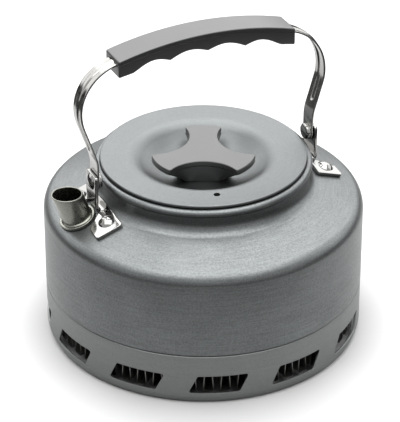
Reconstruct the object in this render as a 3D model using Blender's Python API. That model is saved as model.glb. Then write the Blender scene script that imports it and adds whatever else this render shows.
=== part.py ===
"""Camping kettle with a folding bail handle, a short spout and a slotted ring under the base.

World frame: metres, +Z up, the kettle stands on z = 0 with its axis on x = y = 0.
The spout points to -X, the bail lies in the XZ plane when upright and swings about X.
Every moving piece has its origin on its own joint axis.
"""

import math

import bmesh
import bpy
from mathutils import Matrix, Vector

MM = 0.001

# Overall sizes
BODY_RADIUS = 77.5 * MM
WALL_TOP = 64.8 * MM
SHOULDER_WIDTH = 26.3 * MM
SHOULDER_SLOPE = math.radians(20.0)
SHOULDER_ROUND = 6.4 * MM
SHEET = 1.4 * MM
GAP = 0.3 * MM

# Ring and fins under the base
RING_HEIGHT = 26.4 * MM
RING_SET = 0.1 * MM
RING_SHEET = 1.0 * MM
RING_FOOT_ROUND = 4.2 * MM
RING_FOOT_LIP = 1.3 * MM
WINDOW_COUNT = 12
WINDOW_BOTTOM = 5.9 * MM
WINDOW_TOP = 15.3 * MM
WINDOW_ANGLE = math.radians(18.15)
WINDOW_SLANT = math.radians(3.35)
WINDOW_START = math.radians(9.9)
WINDOW_CORNER = 1.0 * MM
BASE_UNDERSIDE = 17.0 * MM
FIN_COUNT = 57
FIN_SHEET = 0.45 * MM
FIN_BOTTOM = 3.0 * MM
FIN_DEPTH = 27.0 * MM
FIN_OUTER_CLEARANCE = 2.6 * MM

# Neck, bead and lid
NECK_FILLET = 6.0 * MM
NECK_HEIGHT = 5.25 * MM
BEAD_RADIUS = 2.0 * MM
LID_SHEET = 1.2 * MM
LID_RIM = 1.5 * MM
LID_OVERHANG = 0.7 * MM
DISH_DEPTH = 10.6 * MM
DISH_RATIO = 0.672
SKIRT_LENGTH = 7.4 * MM
SKIRT_SHEET = 0.8 * MM
SKIRT_CLEARANCE = 0.5 * MM
VENT_RADIUS = 1.6 * MM
VENT_AZIMUTH = math.radians(253.6)

# Knob and its fastening
KNOB_RATIO = 0.494
KNOB_RISE = 1.8 * MM
KNOB_THICKNESS = 2.6 * MM
KNOB_LEDGE = 1.6 * MM
KNOB_LOBE_AZIMUTH = math.radians(64.5)
BITE_RATIO = 0.723
BITE_CENTRE_RATIO = 1.146
STEM_RATIO = 0.355
SCREW_RADIUS = 2.0 * MM
SCREW_BITE = 6.0 * MM
SCREW_HEAD_RADIUS = 4.2 * MM
SCREW_HEAD = 2.4 * MM
KNOB_WASHER_RADIUS = 6.0 * MM
KNOB_WASHER = 0.8 * MM

# Spout
SPOUT_RADIUS = 7.0 * MM
SPOUT_SHEET = 1.0 * MM
SPOUT_SETBACK = 10.2 * MM
SPOUT_LEAN = math.radians(17.5)
SPOUT_RISE = 15.6 * MM
SPOUT_INSIDE = 1.2 * MM
FLANGE_WIDTH = 2.0 * MM
FLANGE_SHEET = 1.0 * MM

# Brackets and rivets
BRACKET_SHEET = 1.4 * MM
BRACKET_INNER = 1.1 * MM
BRACKET_REACH = 14.2 * MM
BRACKET_HALF = 20.8 * MM
BRACKET_NOTCH = 12.2 * MM
BRACKET_SHIFT = 1.5 * MM
BRACKET_CORNER = 1.2 * MM
BEND_RADIUS = 1.0 * MM
EAR_OFFSET = 6.3 * MM
EAR_HALF = 5.7 * MM
EAR_ABOVE_PIVOT = 4.4 * MM
PIVOT_ABOVE_BEAD = 3.0 * MM
RIVET_OFFSET = 7.3 * MM
RIVET_SPREAD = 14.0 * MM
RIVET_TURN = 1.0 * MM
RIVET_RADIUS = 2.0 * MM
RIVET_HEAD_RADIUS = 4.0 * MM
RIVET_HEAD = 2.0 * MM
RIVET_TAIL_RADIUS = 3.2 * MM
RIVET_TAIL = 1.2 * MM
PIVOT_HEAD_RADIUS = 3.8 * MM
PIVOT_OUTER_HEAD = 1.4 * MM
PIVOT_INNER_HEAD = 1.8 * MM
PIVOT_WASHER_RADIUS = 4.0 * MM
PIVOT_WASHER = 0.5 * MM

# Bail: strap and grip
STRAP_WIDTH = 9.0 * MM
STRAP_SHEET = 1.0 * MM
STRAP_BEND_ABOVE_PIVOT = 10.8 * MM
STRAP_BEND_RADIUS = 6.0 * MM
LEG_LEAN = math.radians(17.7)
RIB_HEIGHT = 0.55 * MM
RIB_WIDTH = 3.2 * MM
RIB_START_ABOVE_PIVOT = 17.5 * MM
GRIP_FOLD_CLEARANCE = 2.0 * MM
GRIP_DEPTH = 14.2 * MM
GRIP_BOW = 6.27 * MM
GRIP_SETBACK = 11.2 * MM
GRIP_WIDTH = 12.7 * MM
GRIP_EDGE = 2.0 * MM
CAP_HEIGHT = 2.3 * MM
GROOVE_DEPTH = 3.2 * MM
GRIP_END_SLOPE = 0.1
PEG_RADIUS = 1.5 * MM
PEG_RATIO = 0.61
PEG_IN_CAP = 0.9 * MM

# Facets on round pieces
BODY_SEGMENTS = 60
LID_SEGMENTS = 48
RING_SEGMENTS = 72
SMALL_SEGMENTS = 16
TUBE_SEGMENTS = 24

# Sizes that follow from the ones above
SIN_S = math.sin(SHOULDER_SLOPE)
COS_S = math.cos(SHOULDER_SLOPE)
TAN_S = math.tan(SHOULDER_SLOPE)
NECK_RADIUS = BODY_RADIUS - SHOULDER_WIDTH
RING_RADIUS = BODY_RADIUS - RING_SET
ROUND_R = BODY_RADIUS - SHOULDER_ROUND
CONE_OUT_R = ROUND_R + SHOULDER_ROUND * SIN_S
CONE_OUT_Z = WALL_TOP + SHOULDER_ROUND * COS_S
FILLET_R = NECK_RADIUS + NECK_FILLET
CONE_IN_R = FILLET_R - NECK_FILLET * SIN_S
CONE_IN_Z = CONE_OUT_Z + (CONE_OUT_R - CONE_IN_R) * TAN_S
FILLET_Z = CONE_IN_Z + NECK_FILLET * COS_S
BEAD_R = NECK_RADIUS - 0.5 * SHEET
BEAD_Z = FILLET_Z + NECK_HEIGHT
BEAD_TOP = BEAD_Z + BEAD_RADIUS
PIVOT_Z = BEAD_Z + PIVOT_ABOVE_BEAD
LID_TOP = BEAD_TOP + GAP + LID_RIM
LID_RADIUS = BEAD_R - LID_OVERHANG
SKIRT_RADIUS = BEAD_R - BEAD_RADIUS - SKIRT_CLEARANCE
DISH_RADIUS = DISH_RATIO * NECK_RADIUS
DISH_FLOOR = LID_TOP - DISH_DEPTH
KNOB_RADIUS = KNOB_RATIO * NECK_RADIUS
STEM_RADIUS = STEM_RATIO * KNOB_RADIUS
EAR_X = NECK_RADIUS + EAR_OFFSET
STRAP_X = EAR_X - GAP
GRIP_HALF = STRAP_X - GRIP_SETBACK
GRIP_TOP = PIVOT_Z + BEAD_R + BEAD_RADIUS + GRIP_FOLD_CLEARANCE + GRIP_DEPTH
GRIP_ARC_RADIUS = (GRIP_HALF * GRIP_HALF + GRIP_BOW * GRIP_BOW) / (2.0 * GRIP_BOW)
STRAP_ARC_RADIUS = GRIP_ARC_RADIUS - CAP_HEIGHT
STRAP_ARC_Z = GRIP_TOP - GRIP_ARC_RADIUS
PEG_X = PEG_RATIO * GRIP_HALF


def clear_file():
    """Empty the start-up file, so that only this kettle is in it."""
    for ob in list(bpy.data.objects):
        bpy.data.objects.remove(ob, do_unlink=True)


def material(name, colour, metallic, roughness):
    """One Principled material."""
    mat = bpy.data.materials.new(name)
    mat.use_nodes = True
    shader = mat.node_tree.nodes["Principled BSDF"]
    shader.inputs["Base Color"].default_value = (*colour, 1.0)
    shader.inputs["Metallic"].default_value = metallic
    shader.inputs["Roughness"].default_value = roughness
    return mat


def finish_mesh(name, bm, look, origin=(0.0, 0.0, 0.0)):
    """Turn a bmesh in world coordinates into a named object whose origin is at `origin`."""
    bmesh.ops.remove_doubles(bm, verts=bm.verts, dist=1e-6)
    bmesh.ops.recalc_face_normals(bm, faces=bm.faces)
    bmesh.ops.translate(bm, verts=bm.verts, vec=-Vector(origin))
    mesh = bpy.data.meshes.new(name)
    bm.to_mesh(mesh)
    bm.free()
    ob = bpy.data.objects.new(name, mesh)
    ob.location = origin
    bpy.context.scene.collection.objects.link(ob)
    for face in mesh.polygons:
        face.use_smooth = True
    mesh.set_sharp_from_angle(angle=math.radians(35.0))
    if look is not None:
        mesh.materials.append(material(name + "_look", *look))
    return ob


def revolve(profile, segments, matrix=None):
    """Spin a closed (radius, height) profile once round Z; points on the axis become poles."""
    bm = bmesh.new()
    verts = [bm.verts.new((r, 0.0, z)) for r, z in profile]
    edges = []
    for i, vert in enumerate(verts):
        after = verts[(i + 1) % len(verts)]
        if vert.co.x < 1e-9 and after.co.x < 1e-9:
            continue
        edges.append(bm.edges.new((vert, after)))
    bmesh.ops.spin(
        bm,
        geom=verts + edges,
        cent=(0.0, 0.0, 0.0),
        axis=(0.0, 0.0, 1.0),
        angle=2.0 * math.pi,
        steps=segments,
        use_merge=True,
        use_normal_flip=False,
        use_duplicate=False,
    )
    bmesh.ops.remove_doubles(bm, verts=bm.verts, dist=1e-6)
    if matrix is not None:
        bmesh.ops.transform(bm, matrix=matrix, verts=bm.verts)
    return bm


def loft(rings, closed=False):
    """Skin equal rings of points; `closed` joins the last ring to the first, else both ends are capped."""
    bm = bmesh.new()
    rows = [[bm.verts.new(p) for p in ring] for ring in rings]
    count = len(rows[0])
    pairs = list(zip(rows, rows[1:]))
    if closed:
        pairs.append((rows[-1], rows[0]))
    for a, b in pairs:
        for i in range(count):
            j = (i + 1) % count
            bm.faces.new((a[i], a[j], b[j], b[i]))
    if not closed:
        bm.faces.new(rows[0][::-1])
        bm.faces.new(rows[-1])
    return bm


def arc(centre, radius, start, end, steps):
    """Points of an arc in the plane, angles in radians, both ends included."""
    points = []
    for i in range(steps + 1):
        a = start + (end - start) * i / steps
        points.append((centre[0] + radius * math.cos(a), centre[1] + radius * math.sin(a)))
    return points


def offset_path(points, distance):
    """Shift an open path sideways to its right by `distance`, keeping corners mitred."""
    flat = [Vector(p) for p in points]
    result = []
    for i, p in enumerate(flat):
        before = (p - flat[i - 1]).normalized() if i > 0 else None
        after = (flat[i + 1] - p).normalized() if i < len(flat) - 1 else None
        before = before or after
        after = after or before
        side = Vector((before.y, -before.x)) + Vector((after.y, -after.x))
        side = side.normalized()
        stretch = side.dot(Vector((before.y, -before.x)))
        shifted = p + side * (distance / stretch)
        result.append((shifted.x, shifted.y))
    return result


def frame_along(origin, direction):
    """Matrix that puts local +Z along `direction` at `origin`."""
    turn = Vector(direction).to_track_quat("Z", "Y").to_matrix().to_4x4()
    return Matrix.Translation(Vector(origin)) @ turn


def rod(radius, origin, direction, low, high, segments=SMALL_SEGMENTS):
    """Plain cylinder along `direction`, from `low` to `high` measured from `origin`."""
    profile = [(0.0, high), (radius, high), (radius, low), (0.0, low)]
    return revolve(profile, segments, frame_along(origin, direction))


def boolean(target, tool_mesh, operation, name):
    """Add one exact boolean to `target`, with its tool kept as a hidden wire object."""
    tool = finish_mesh(name, tool_mesh, None)
    tool.hide_render = True
    tool.display_type = "WIRE"
    step = target.modifiers.new(name, "BOOLEAN")
    step.operation = operation
    step.solver = "EXACT"
    step.object = tool
    return tool


def shoulder(radius):
    """Height of the shoulder's outside at this radius, and its outward normal as (radial, up)."""
    if radius < CONE_IN_R:
        side = (FILLET_R - radius) / NECK_FILLET
        up = math.sqrt(max(0.0, 1.0 - side * side))
        return FILLET_Z - NECK_FILLET * up, side, up
    if radius <= CONE_OUT_R:
        return CONE_IN_Z - (radius - CONE_IN_R) * TAN_S, SIN_S, COS_S
    side = min(1.0, (radius - ROUND_R) / SHOULDER_ROUND)
    up = math.sqrt(1.0 - side * side)
    return WALL_TOP + SHOULDER_ROUND * up, side, up


def on_shoulder(x, y, lift=0.0):
    """Point `lift` above the shoulder over plan position (x, y), and the normal there."""
    radius = math.hypot(x, y)
    z, side, up = shoulder(radius)
    normal = Vector((side * x / radius, side * y / radius, up))
    return Vector((x, y, z)) + normal * lift, normal


ALUMINIUM = ((0.42, 0.43, 0.43), 1.0, 0.38)
DARK_ALUMINIUM = ((0.30, 0.31, 0.31), 1.0, 0.42)
STEEL = ((0.70, 0.70, 0.69), 1.0, 0.12)
PLAIN_STEEL = ((0.55, 0.55, 0.54), 1.0, 0.30)
PLASTIC = ((0.02, 0.02, 0.02), 0.0, 0.35)


def build_body():
    """Pot in one closed solid: base, stepped wall, shoulder, neck and bead, with its drilled holes."""
    step_z = RING_HEIGHT + GAP
    low_r = RING_RADIUS - RING_SHEET - GAP
    corner = 1.5 * MM
    slope = math.pi / 2.0 - SHOULDER_SLOPE
    bead_open = math.acos(0.5 * SHEET / BEAD_RADIUS)

    outer = arc((BEAD_R, BEAD_Z), BEAD_RADIUS, math.pi + bead_open, -bead_open, 9)
    outer += arc((FILLET_R, FILLET_Z), NECK_FILLET, math.pi, math.pi + slope, 4)
    outer += arc((ROUND_R, WALL_TOP), SHOULDER_ROUND, slope, 0.0, 4)
    outer.append((BODY_RADIUS, step_z + 0.4 * MM))
    outer.append((BODY_RADIUS - 0.4 * MM, step_z))
    outer.append((low_r, step_z))
    outer += arc((low_r - corner, BASE_UNDERSIDE + corner), corner, 0.0, -math.pi / 2.0, 2)
    outer.append((0.0, BASE_UNDERSIDE))

    floor = BASE_UNDERSIDE + SHEET
    inner_round = SHOULDER_ROUND - SHEET
    inner_corner = 3.0 * MM
    inner = [(0.0, floor)]
    inner += arc((low_r - SHEET - inner_corner, floor + inner_corner), inner_corner, -math.pi / 2.0, 0.0, 3)
    inner.append((low_r - SHEET, step_z - 0.5 * MM))
    inner.append((BODY_RADIUS - SHEET, step_z + SHEET + 0.3 * MM))
    inner += arc((ROUND_R, WALL_TOP), inner_round, 0.0, slope, 3)
    inner += arc((FILLET_R, FILLET_Z), NECK_FILLET + SHEET, math.pi + slope, math.pi, 3)

    ob = finish_mesh("kettle_body", revolve(outer + inner, BODY_SEGMENTS), ALUMINIUM)
    foot, axis, normal = spout_foot()
    hole = rod(SPOUT_RADIUS + GAP, foot, axis, -4.0 * MM, 4.0 * MM, TUBE_SEGMENTS)
    boolean(ob, hole, "DIFFERENCE", "cut_spout_hole")
    for i, (x, y) in enumerate(rivet_places()):
        seat, normal = on_shoulder(x, y)
        hole = rod(RIVET_RADIUS + GAP, seat, normal, -4.0 * MM, 4.0 * MM)
        boolean(ob, hole, "DIFFERENCE", f"cut_body_rivet_hole_{i + 1}")
    return ob


def build_ring():
    """Slotted ring round the base, its foot rounded in to a narrow lip, with slanted windows cut through."""
    top = RING_RADIUS
    inside = RING_RADIUS - RING_SHEET
    edge = 0.25 * MM
    foot_inset = 0.5 * RING_FOOT_ROUND
    curve = [(0.0, 1.0), (0.06, 0.714), (0.19, 0.381), (0.333, 0.143), (0.5, 0.0)]
    profile = [(top - edge, RING_HEIGHT), (top, RING_HEIGHT - edge)]
    profile += [(top - RING_FOOT_ROUND * a, RING_FOOT_ROUND * b) for a, b in curve]
    profile += [
        (top - foot_inset - RING_FOOT_LIP, 0.0),
        (top - foot_inset - RING_FOOT_LIP, RING_SHEET),
        (inside - 0.3 * RING_FOOT_ROUND, RING_SHEET),
        (inside - 0.1 * RING_FOOT_ROUND, 0.55 * RING_FOOT_ROUND),
        (inside, RING_FOOT_ROUND),
        (inside, RING_HEIGHT),
    ]
    ob = finish_mesh("heat_exchanger_ring", revolve(profile, RING_SEGMENTS), DARK_ALUMINIUM)

    bm = bmesh.new()
    low = WINDOW_BOTTOM
    high = WINDOW_TOP
    turn = WINDOW_CORNER / RING_RADIUS
    half = 0.5 * WINDOW_ANGLE
    lean = 0.5 * WINDOW_SLANT
    outline = [
        (-half - lean + turn, low),
        (half - lean - turn, low),
        (half - lean - 0.3 * turn, low + 0.3 * WINDOW_CORNER),
        (half - lean, low + WINDOW_CORNER),
        (half + lean, high - WINDOW_CORNER),
        (half + lean - 0.3 * turn, high - 0.3 * WINDOW_CORNER),
        (half + lean - turn, high),
        (-half + lean + turn, high),
        (-half + lean + 0.3 * turn, high - 0.3 * WINDOW_CORNER),
        (-half + lean, high - WINDOW_CORNER),
        (-half - lean, low + WINDOW_CORNER),
        (-half - lean + 0.3 * turn, low + 0.3 * WINDOW_CORNER),
    ]
    for k in range(WINDOW_COUNT):
        middle = WINDOW_START + 2.0 * math.pi * k / WINDOW_COUNT
        rows = []
        for radius in (inside - 3.0 * MM, top + 3.0 * MM):
            ring = []
            for a, z in outline:
                ring.append(bm.verts.new((radius * math.cos(middle + a), radius * math.sin(middle + a), z)))
            rows.append(ring)
        count = len(outline)
        for i in range(count):
            j = (i + 1) % count
            bm.faces.new((rows[0][i], rows[0][j], rows[1][j], rows[1][i]))
        bm.faces.new(rows[0][::-1])
        bm.faces.new(rows[1])
    boolean(ob, bm, "DIFFERENCE", "cut_ring_windows")
    return ob


def build_fins():
    """Folded strip: one closed wave of thin sheet with flats at top and bottom, its folds running radially."""
    outer = RING_RADIUS - RING_SHEET - FIN_OUTER_CLEARANCE
    inner = outer - FIN_DEPTH
    top = BASE_UNDERSIDE - GAP - 0.5 * FIN_SHEET
    bottom = FIN_BOTTOM + 0.5 * FIN_SHEET
    middle = 0.5 * (top + bottom)
    pitch = 2.0 * math.pi / FIN_COUNT
    lean = math.tan(math.radians(4.0))
    half = 0.5 * FIN_SHEET
    sideways = half * math.sqrt(1.0 + lean * lean)

    def wall(radius, angle, direction, side, z):
        """Point on one face of a fin wall, as a world position."""
        shift = direction * (z - middle) * lean + side * sideways
        a = angle + shift / radius
        return (radius * math.cos(a), radius * math.sin(a), z)

    bm = bmesh.new()
    loops = {}
    for radius in (inner, outer):
        for face, sign in (("under", -1.0), ("over", 1.0)):
            loop = []
            for k in range(FIN_COUNT):
                rise = k * pitch + 0.25 * pitch
                fall = k * pitch + 0.75 * pitch
                loop.append(bm.verts.new(wall(radius, rise, -1.0, -sign, bottom + sign * half)))
                loop.append(bm.verts.new(wall(radius, rise, -1.0, -sign, top + sign * half)))
                loop.append(bm.verts.new(wall(radius, fall, 1.0, sign, top + sign * half)))
                loop.append(bm.verts.new(wall(radius, fall, 1.0, sign, bottom + sign * half)))
            loops[(radius, face)] = loop
    order = [(inner, "under"), (outer, "under"), (outer, "over"), (inner, "over")]
    count = 4 * FIN_COUNT
    for a, b in zip(order, order[1:] + order[:1]):
        for i in range(count):
            j = (i + 1) % count
            bm.faces.new((loops[a][i], loops[a][j], loops[b][j], loops[b][i]))
    return finish_mesh("heat_exchanger_fins", bm, DARK_ALUMINIUM)


def spout_foot():
    """Where the spout's axis meets the shoulder, the direction it leans in, and the shoulder's normal there."""
    foot, normal = on_shoulder(-(BODY_RADIUS - SPOUT_SETBACK), 0.0)
    return foot, Vector((-math.sin(SPOUT_LEAN), 0.0, math.cos(SPOUT_LEAN))), normal


def build_spout():
    """Spout tube with a level mouth and a thin collar round its foot."""
    foot, axis, normal = spout_foot()
    side = Vector((0.0, 1.0, 0.0))
    out = side.cross(axis)
    mouth = foot.z + SPOUT_RISE

    def ring(radius, length=None, level=None):
        """One circle of the tube, square to its axis at `length` or cut level at height `level`."""
        points = []
        for i in range(TUBE_SEGMENTS):
            a = 2.0 * math.pi * i / TUBE_SEGMENTS
            p = foot + out * (radius * math.cos(a)) + side * (radius * math.sin(a))
            along = length
            if level is not None:
                along = (level - p.z) / axis.z
            points.append(p + axis * along)
        return points

    low = -SHEET - SPOUT_INSIDE
    bore = SPOUT_RADIUS - SPOUT_SHEET
    lip = 0.3 * MM
    rings = [
        ring(SPOUT_RADIUS, length=low),
        ring(SPOUT_RADIUS, level=mouth - lip),
        ring(SPOUT_RADIUS - lip, level=mouth),
        ring(bore + lip, level=mouth),
        ring(bore, level=mouth - lip),
        ring(bore, length=low),
    ]
    finish_mesh("spout_tube", loft(rings, closed=True), ALUMINIUM)

    inside = SPOUT_RADIUS + GAP
    outside = SPOUT_RADIUS + FLANGE_WIDTH
    profile = [
        (inside, GAP + FLANGE_SHEET),
        (outside - 0.4 * MM, GAP + FLANGE_SHEET),
        (outside, GAP + 0.6 * FLANGE_SHEET),
        (outside, GAP),
        (inside, GAP),
    ]
    bm = revolve(profile, TUBE_SEGMENTS, frame_along(foot, normal))
    finish_mesh("spout_flange", bm, ALUMINIUM)


def rounded(points, radii, steps=3):
    """Round the corners of a closed plan outline, each by its own radius."""
    result = []
    count = len(points)
    for i, (x, y) in enumerate(points):
        p = Vector((x, y))
        if radii[i] <= 0.0:
            result.append(p)
            continue
        a = (Vector(points[i - 1]) - p).normalized()
        b = (Vector(points[(i + 1) % count]) - p).normalized()
        half = 0.5 * a.angle(b)
        reach = radii[i] / math.tan(half)
        centre = p + (a + b).normalized() * (radii[i] / math.sin(half))
        start = p + a * reach - centre
        end = p + b * reach - centre
        turn = start.angle_signed(end)
        for k in range(steps + 1):
            spin = Matrix.Rotation(-turn * k / steps, 2)
            result.append(centre + spin @ start)
    return result


def rivet_places():
    """Plan positions of the four shoulder rivets, spout side first."""
    x = NECK_RADIUS + RIVET_OFFSET
    short = (x + RIVET_TURN, RIVET_SPREAD - BRACKET_SHIFT)
    long = (x - RIVET_TURN, RIVET_SPREAD + BRACKET_SHIFT)
    return [(-long[0], -long[1]), (-short[0], short[1]), (short[0], -short[1]), (long[0], long[1])]


def build_bracket(name, sign):
    """Bracket pressed from one sheet: a foot lying on the shoulder and an ear bent up from it."""
    bend_start = EAR_X - (GAP + BRACKET_SHEET) * SIN_S - BEND_RADIUS * (1.0 + SIN_S)
    bend_length = 3.0 * MM
    outer_bend = BEND_RADIUS + BRACKET_SHEET
    base_z = on_shoulder(bend_start, 0.0, GAP)[0].z + outer_bend * COS_S
    ear_end = bend_start + bend_length + PIVOT_Z + EAR_ABOVE_PIVOT - base_z
    inner_x = NECK_RADIUS + BRACKET_INNER
    outer_x = NECK_RADIUS + BRACKET_REACH
    halves = []
    for side in (1.0, -1.0):
        shift = side * BRACKET_SHIFT
        half = [
            (ear_end, EAR_HALF, 1.5 * MM),
            (bend_start, EAR_HALF, 0.0),
            (outer_x, BRACKET_NOTCH + shift, BRACKET_CORNER),
            (outer_x, BRACKET_HALF + shift, BRACKET_CORNER),
            (inner_x, BRACKET_HALF + shift, BRACKET_CORNER),
        ]
        halves.append([(x, side * y, r) for x, y, r in half])
    corners = halves[0] + halves[1][::-1]
    outline = rounded([(x, y) for x, y, _ in corners], [r for _, _, r in corners])

    flat = bmesh.new()
    flat.faces.new([flat.verts.new((p.x, p.y, 0.0)) for p in outline])
    cuts = [((bend_start + bend_length * k / 4.0, 0.0, 0.0), (1.0, 0.0, 0.0)) for k in range(5)]
    cuts += [((inner_x + k * 0.8 * MM, 0.0, 0.0), (1.0, 0.0, 0.0)) for k in (1, 2)]
    cuts += [((0.0, y, 0.0), (0.0, 1.0, 0.0)) for y in (-EAR_HALF, 0.0, EAR_HALF)]
    cuts += [((0.0, s * 10.5 * MM, 0.0), (0.0, 1.0, 0.0)) for s in (-1.0, 1.0)]
    cuts += [((0.0, s * 15.0 * MM, 0.0), (0.0, 1.0, 0.0)) for s in (-1.0, 1.0)]
    for place, across in cuts:
        geom = flat.verts[:] + flat.edges[:] + flat.faces[:]
        bmesh.ops.bisect_plane(flat, geom=geom, dist=1e-7, plane_co=place, plane_no=across)
    flat.verts.index_update()

    def place(x, y, top):
        """Sheet point for one flat-pattern point, on the lower or the upper face."""
        lift = GAP + (BRACKET_SHEET if top else 0.0)
        if x <= bend_start + 1e-7 or abs(y) > EAR_HALF + 1e-7:
            return on_shoulder(x, y, lift)[0]
        radius = BEND_RADIUS if top else outer_bend
        part = min(1.0, (x - bend_start) / bend_length)
        turn = part * (math.pi / 2.0 + SHOULDER_SLOPE)
        start = math.pi / 2.0 + SHOULDER_SLOPE
        shift_x = radius * (math.cos(turn - start) - math.cos(start))
        shift_z = radius * (math.sin(turn - start) + math.sin(start))
        rise = max(0.0, x - bend_start - bend_length)
        return on_shoulder(bend_start, y, lift)[0] + Vector((shift_x, 0.0, shift_z + rise))

    bm = bmesh.new()
    low = [bm.verts.new(place(v.co.x, v.co.y, False)) for v in flat.verts]
    high = [bm.verts.new(place(v.co.x, v.co.y, True)) for v in flat.verts]
    for face in flat.faces:
        index = [v.index for v in face.verts]
        bm.faces.new([high[i] for i in index])
        bm.faces.new([low[i] for i in reversed(index)])
    for edge in flat.edges:
        if edge.is_boundary:
            a, b = (v.index for v in edge.verts)
            bm.faces.new((low[a], low[b], high[b], high[a]))
    flat.free()
    bmesh.ops.triangulate(bm, faces=[f for f in bm.faces if len(f.verts) > 4])
    if sign < 0:
        bmesh.ops.rotate(bm, verts=bm.verts, cent=(0.0, 0.0, 0.0), matrix=Matrix.Rotation(math.pi, 3, "Z"))
    ob = finish_mesh(name, bm, STEEL)

    axle = rod(RIVET_RADIUS + GAP, (sign * EAR_X, 0.0, PIVOT_Z), (sign, 0.0, 0.0), -3.0 * MM, 4.0 * MM)
    boolean(ob, axle, "DIFFERENCE", f"cut_{name}_pivot_hole")
    for i, (x, y) in enumerate(rivet_places()):
        if x * sign > 0.0:
            seat, normal = on_shoulder(x, y)
            hole = rod(RIVET_RADIUS + GAP, seat, normal, -2.0 * MM, 5.0 * MM)
            boolean(ob, hole, "DIFFERENCE", f"cut_{name}_rivet_hole_{i + 1}")
    return ob


def dome(base, radius, height, upward=1.0, steps=4):
    """Rounded rivet head from its middle to its edge, as profile points."""
    ball = (radius * radius + height * height) / (2.0 * height)
    widest = math.asin(min(1.0, radius / ball))
    points = []
    for i in range(steps + 1):
        a = widest * i / steps
        points.append((ball * math.sin(a), base + upward * (height - ball * (1.0 - math.cos(a)))))
    return points


def build_rivets():
    """Four shoulder rivets: domed head over the bracket, shank through both sheets, flat tail inside."""
    head = GAP + BRACKET_SHEET + GAP
    tail = -SHEET - GAP
    profile = dome(head, RIVET_HEAD_RADIUS, RIVET_HEAD)
    profile += [
        (RIVET_RADIUS, head),
        (RIVET_RADIUS, tail),
        (RIVET_TAIL_RADIUS, tail),
        (RIVET_TAIL_RADIUS - 0.3 * MM, tail - RIVET_TAIL),
        (0.0, tail - RIVET_TAIL),
    ]
    for i, (x, y) in enumerate(rivet_places()):
        seat, normal = on_shoulder(x, y)
        bm = revolve(profile, SMALL_SEGMENTS, frame_along(seat, normal))
        finish_mesh(f"bracket_rivet_{i + 1}", bm, STEEL)


def build_pivots():
    """Pivot rivets the bail swings on, each with a thin washer inside the strap."""
    strap_in = STRAP_X - STRAP_SHEET
    washer_out = strap_in - GAP
    washer_in = washer_out - PIVOT_WASHER
    inner_head = washer_in - GAP
    outer_head = EAR_X + BRACKET_SHEET + GAP
    for name, sign in (("spout_side", -1.0), ("far_side", 1.0)):
        matrix = frame_along((0.0, 0.0, PIVOT_Z), (sign, 0.0, 0.0))
        profile = dome(outer_head, PIVOT_HEAD_RADIUS, PIVOT_OUTER_HEAD)
        profile += [(RIVET_RADIUS, outer_head), (RIVET_RADIUS, inner_head)]
        profile += dome(inner_head, PIVOT_HEAD_RADIUS, PIVOT_INNER_HEAD, upward=-1.0)[::-1]
        bm = revolve(profile, SMALL_SEGMENTS, matrix)
        finish_mesh(f"pivot_rivet_{name}", bm, STEEL)
        profile = [
            (RIVET_RADIUS + GAP, washer_out),
            (PIVOT_WASHER_RADIUS, washer_out),
            (PIVOT_WASHER_RADIUS, washer_in),
            (RIVET_RADIUS + GAP, washer_in),
        ]
        bm = revolve(profile, SMALL_SEGMENTS, matrix)
        finish_mesh(f"pivot_washer_{name}", bm, PLAIN_STEEL)


def strap_height(x):
    """Height of the strap's outer face under the grip at plan position x."""
    return STRAP_ARC_Z + math.sqrt(STRAP_ARC_RADIUS * STRAP_ARC_RADIUS - x * x)


def corner_fillet(before, vertex, after, radius, steps):
    """Arc points that round one corner of a path."""
    p = Vector(vertex)
    a = (Vector(before) - p).normalized()
    b = (Vector(after) - p).normalized()
    half = 0.5 * a.angle(b)
    reach = radius / math.tan(half)
    centre = p + (a + b).normalized() * (radius / math.sin(half))
    start = p + a * reach - centre
    end = p + b * reach - centre
    turn = start.angle_signed(end)
    points = []
    for k in range(steps + 1):
        q = centre + Matrix.Rotation(-turn * k / steps, 2) @ start
        points.append((q.x, q.y))
    return points


def strap_half_path():
    """Outer face of one half of the strap from the middle of the grip down to the pivot, with rib strength."""
    end_x = GRIP_HALF + 0.6 * MM
    path = []
    steps = 7
    for i in range(steps + 1):
        x = end_x * i / steps
        path.append((x, strap_height(x)))
    last = Vector(path[-1])
    slope = last.x / (strap_height(last.x) - STRAP_ARC_Z)
    knee = Vector((STRAP_X, PIVOT_Z + STRAP_BEND_ABOVE_PIVOT))
    lean = math.tan(LEG_LEAN)
    top_z = (last.y + slope * (last.x - knee.x + lean * knee.y)) / (1.0 + slope * lean)
    corner = Vector((knee.x + lean * (top_z - knee.y), top_z))
    a = (last - corner).normalized()
    b = (knee - corner).normalized()
    radius = (last - corner).length * math.tan(0.5 * a.angle(b))
    path += corner_fillet(last, corner, knee, radius, 11)[1:]
    rib_z = PIVOT_Z + RIB_START_ABOVE_PIVOT
    for z in (rib_z + 3.0 * MM, rib_z):
        path.append((knee.x + lean * (z - knee.y), z))
    path += corner_fillet(corner, knee, (STRAP_X, PIVOT_Z), STRAP_BEND_RADIUS, 3)
    path.append((STRAP_X, PIVOT_Z))
    return path


def rib_strength(x, z):
    """How far the pressed rib stands out here: it starts above the knee and fades just inside the grip."""
    start = PIVOT_Z + RIB_START_ABOVE_PIVOT
    low = (z - start) / (3.0 * MM)
    grip = (x - (GRIP_HALF - 6.0 * MM)) / (3.0 * MM)
    return max(0.0, min(1.0, low, grip))


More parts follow.
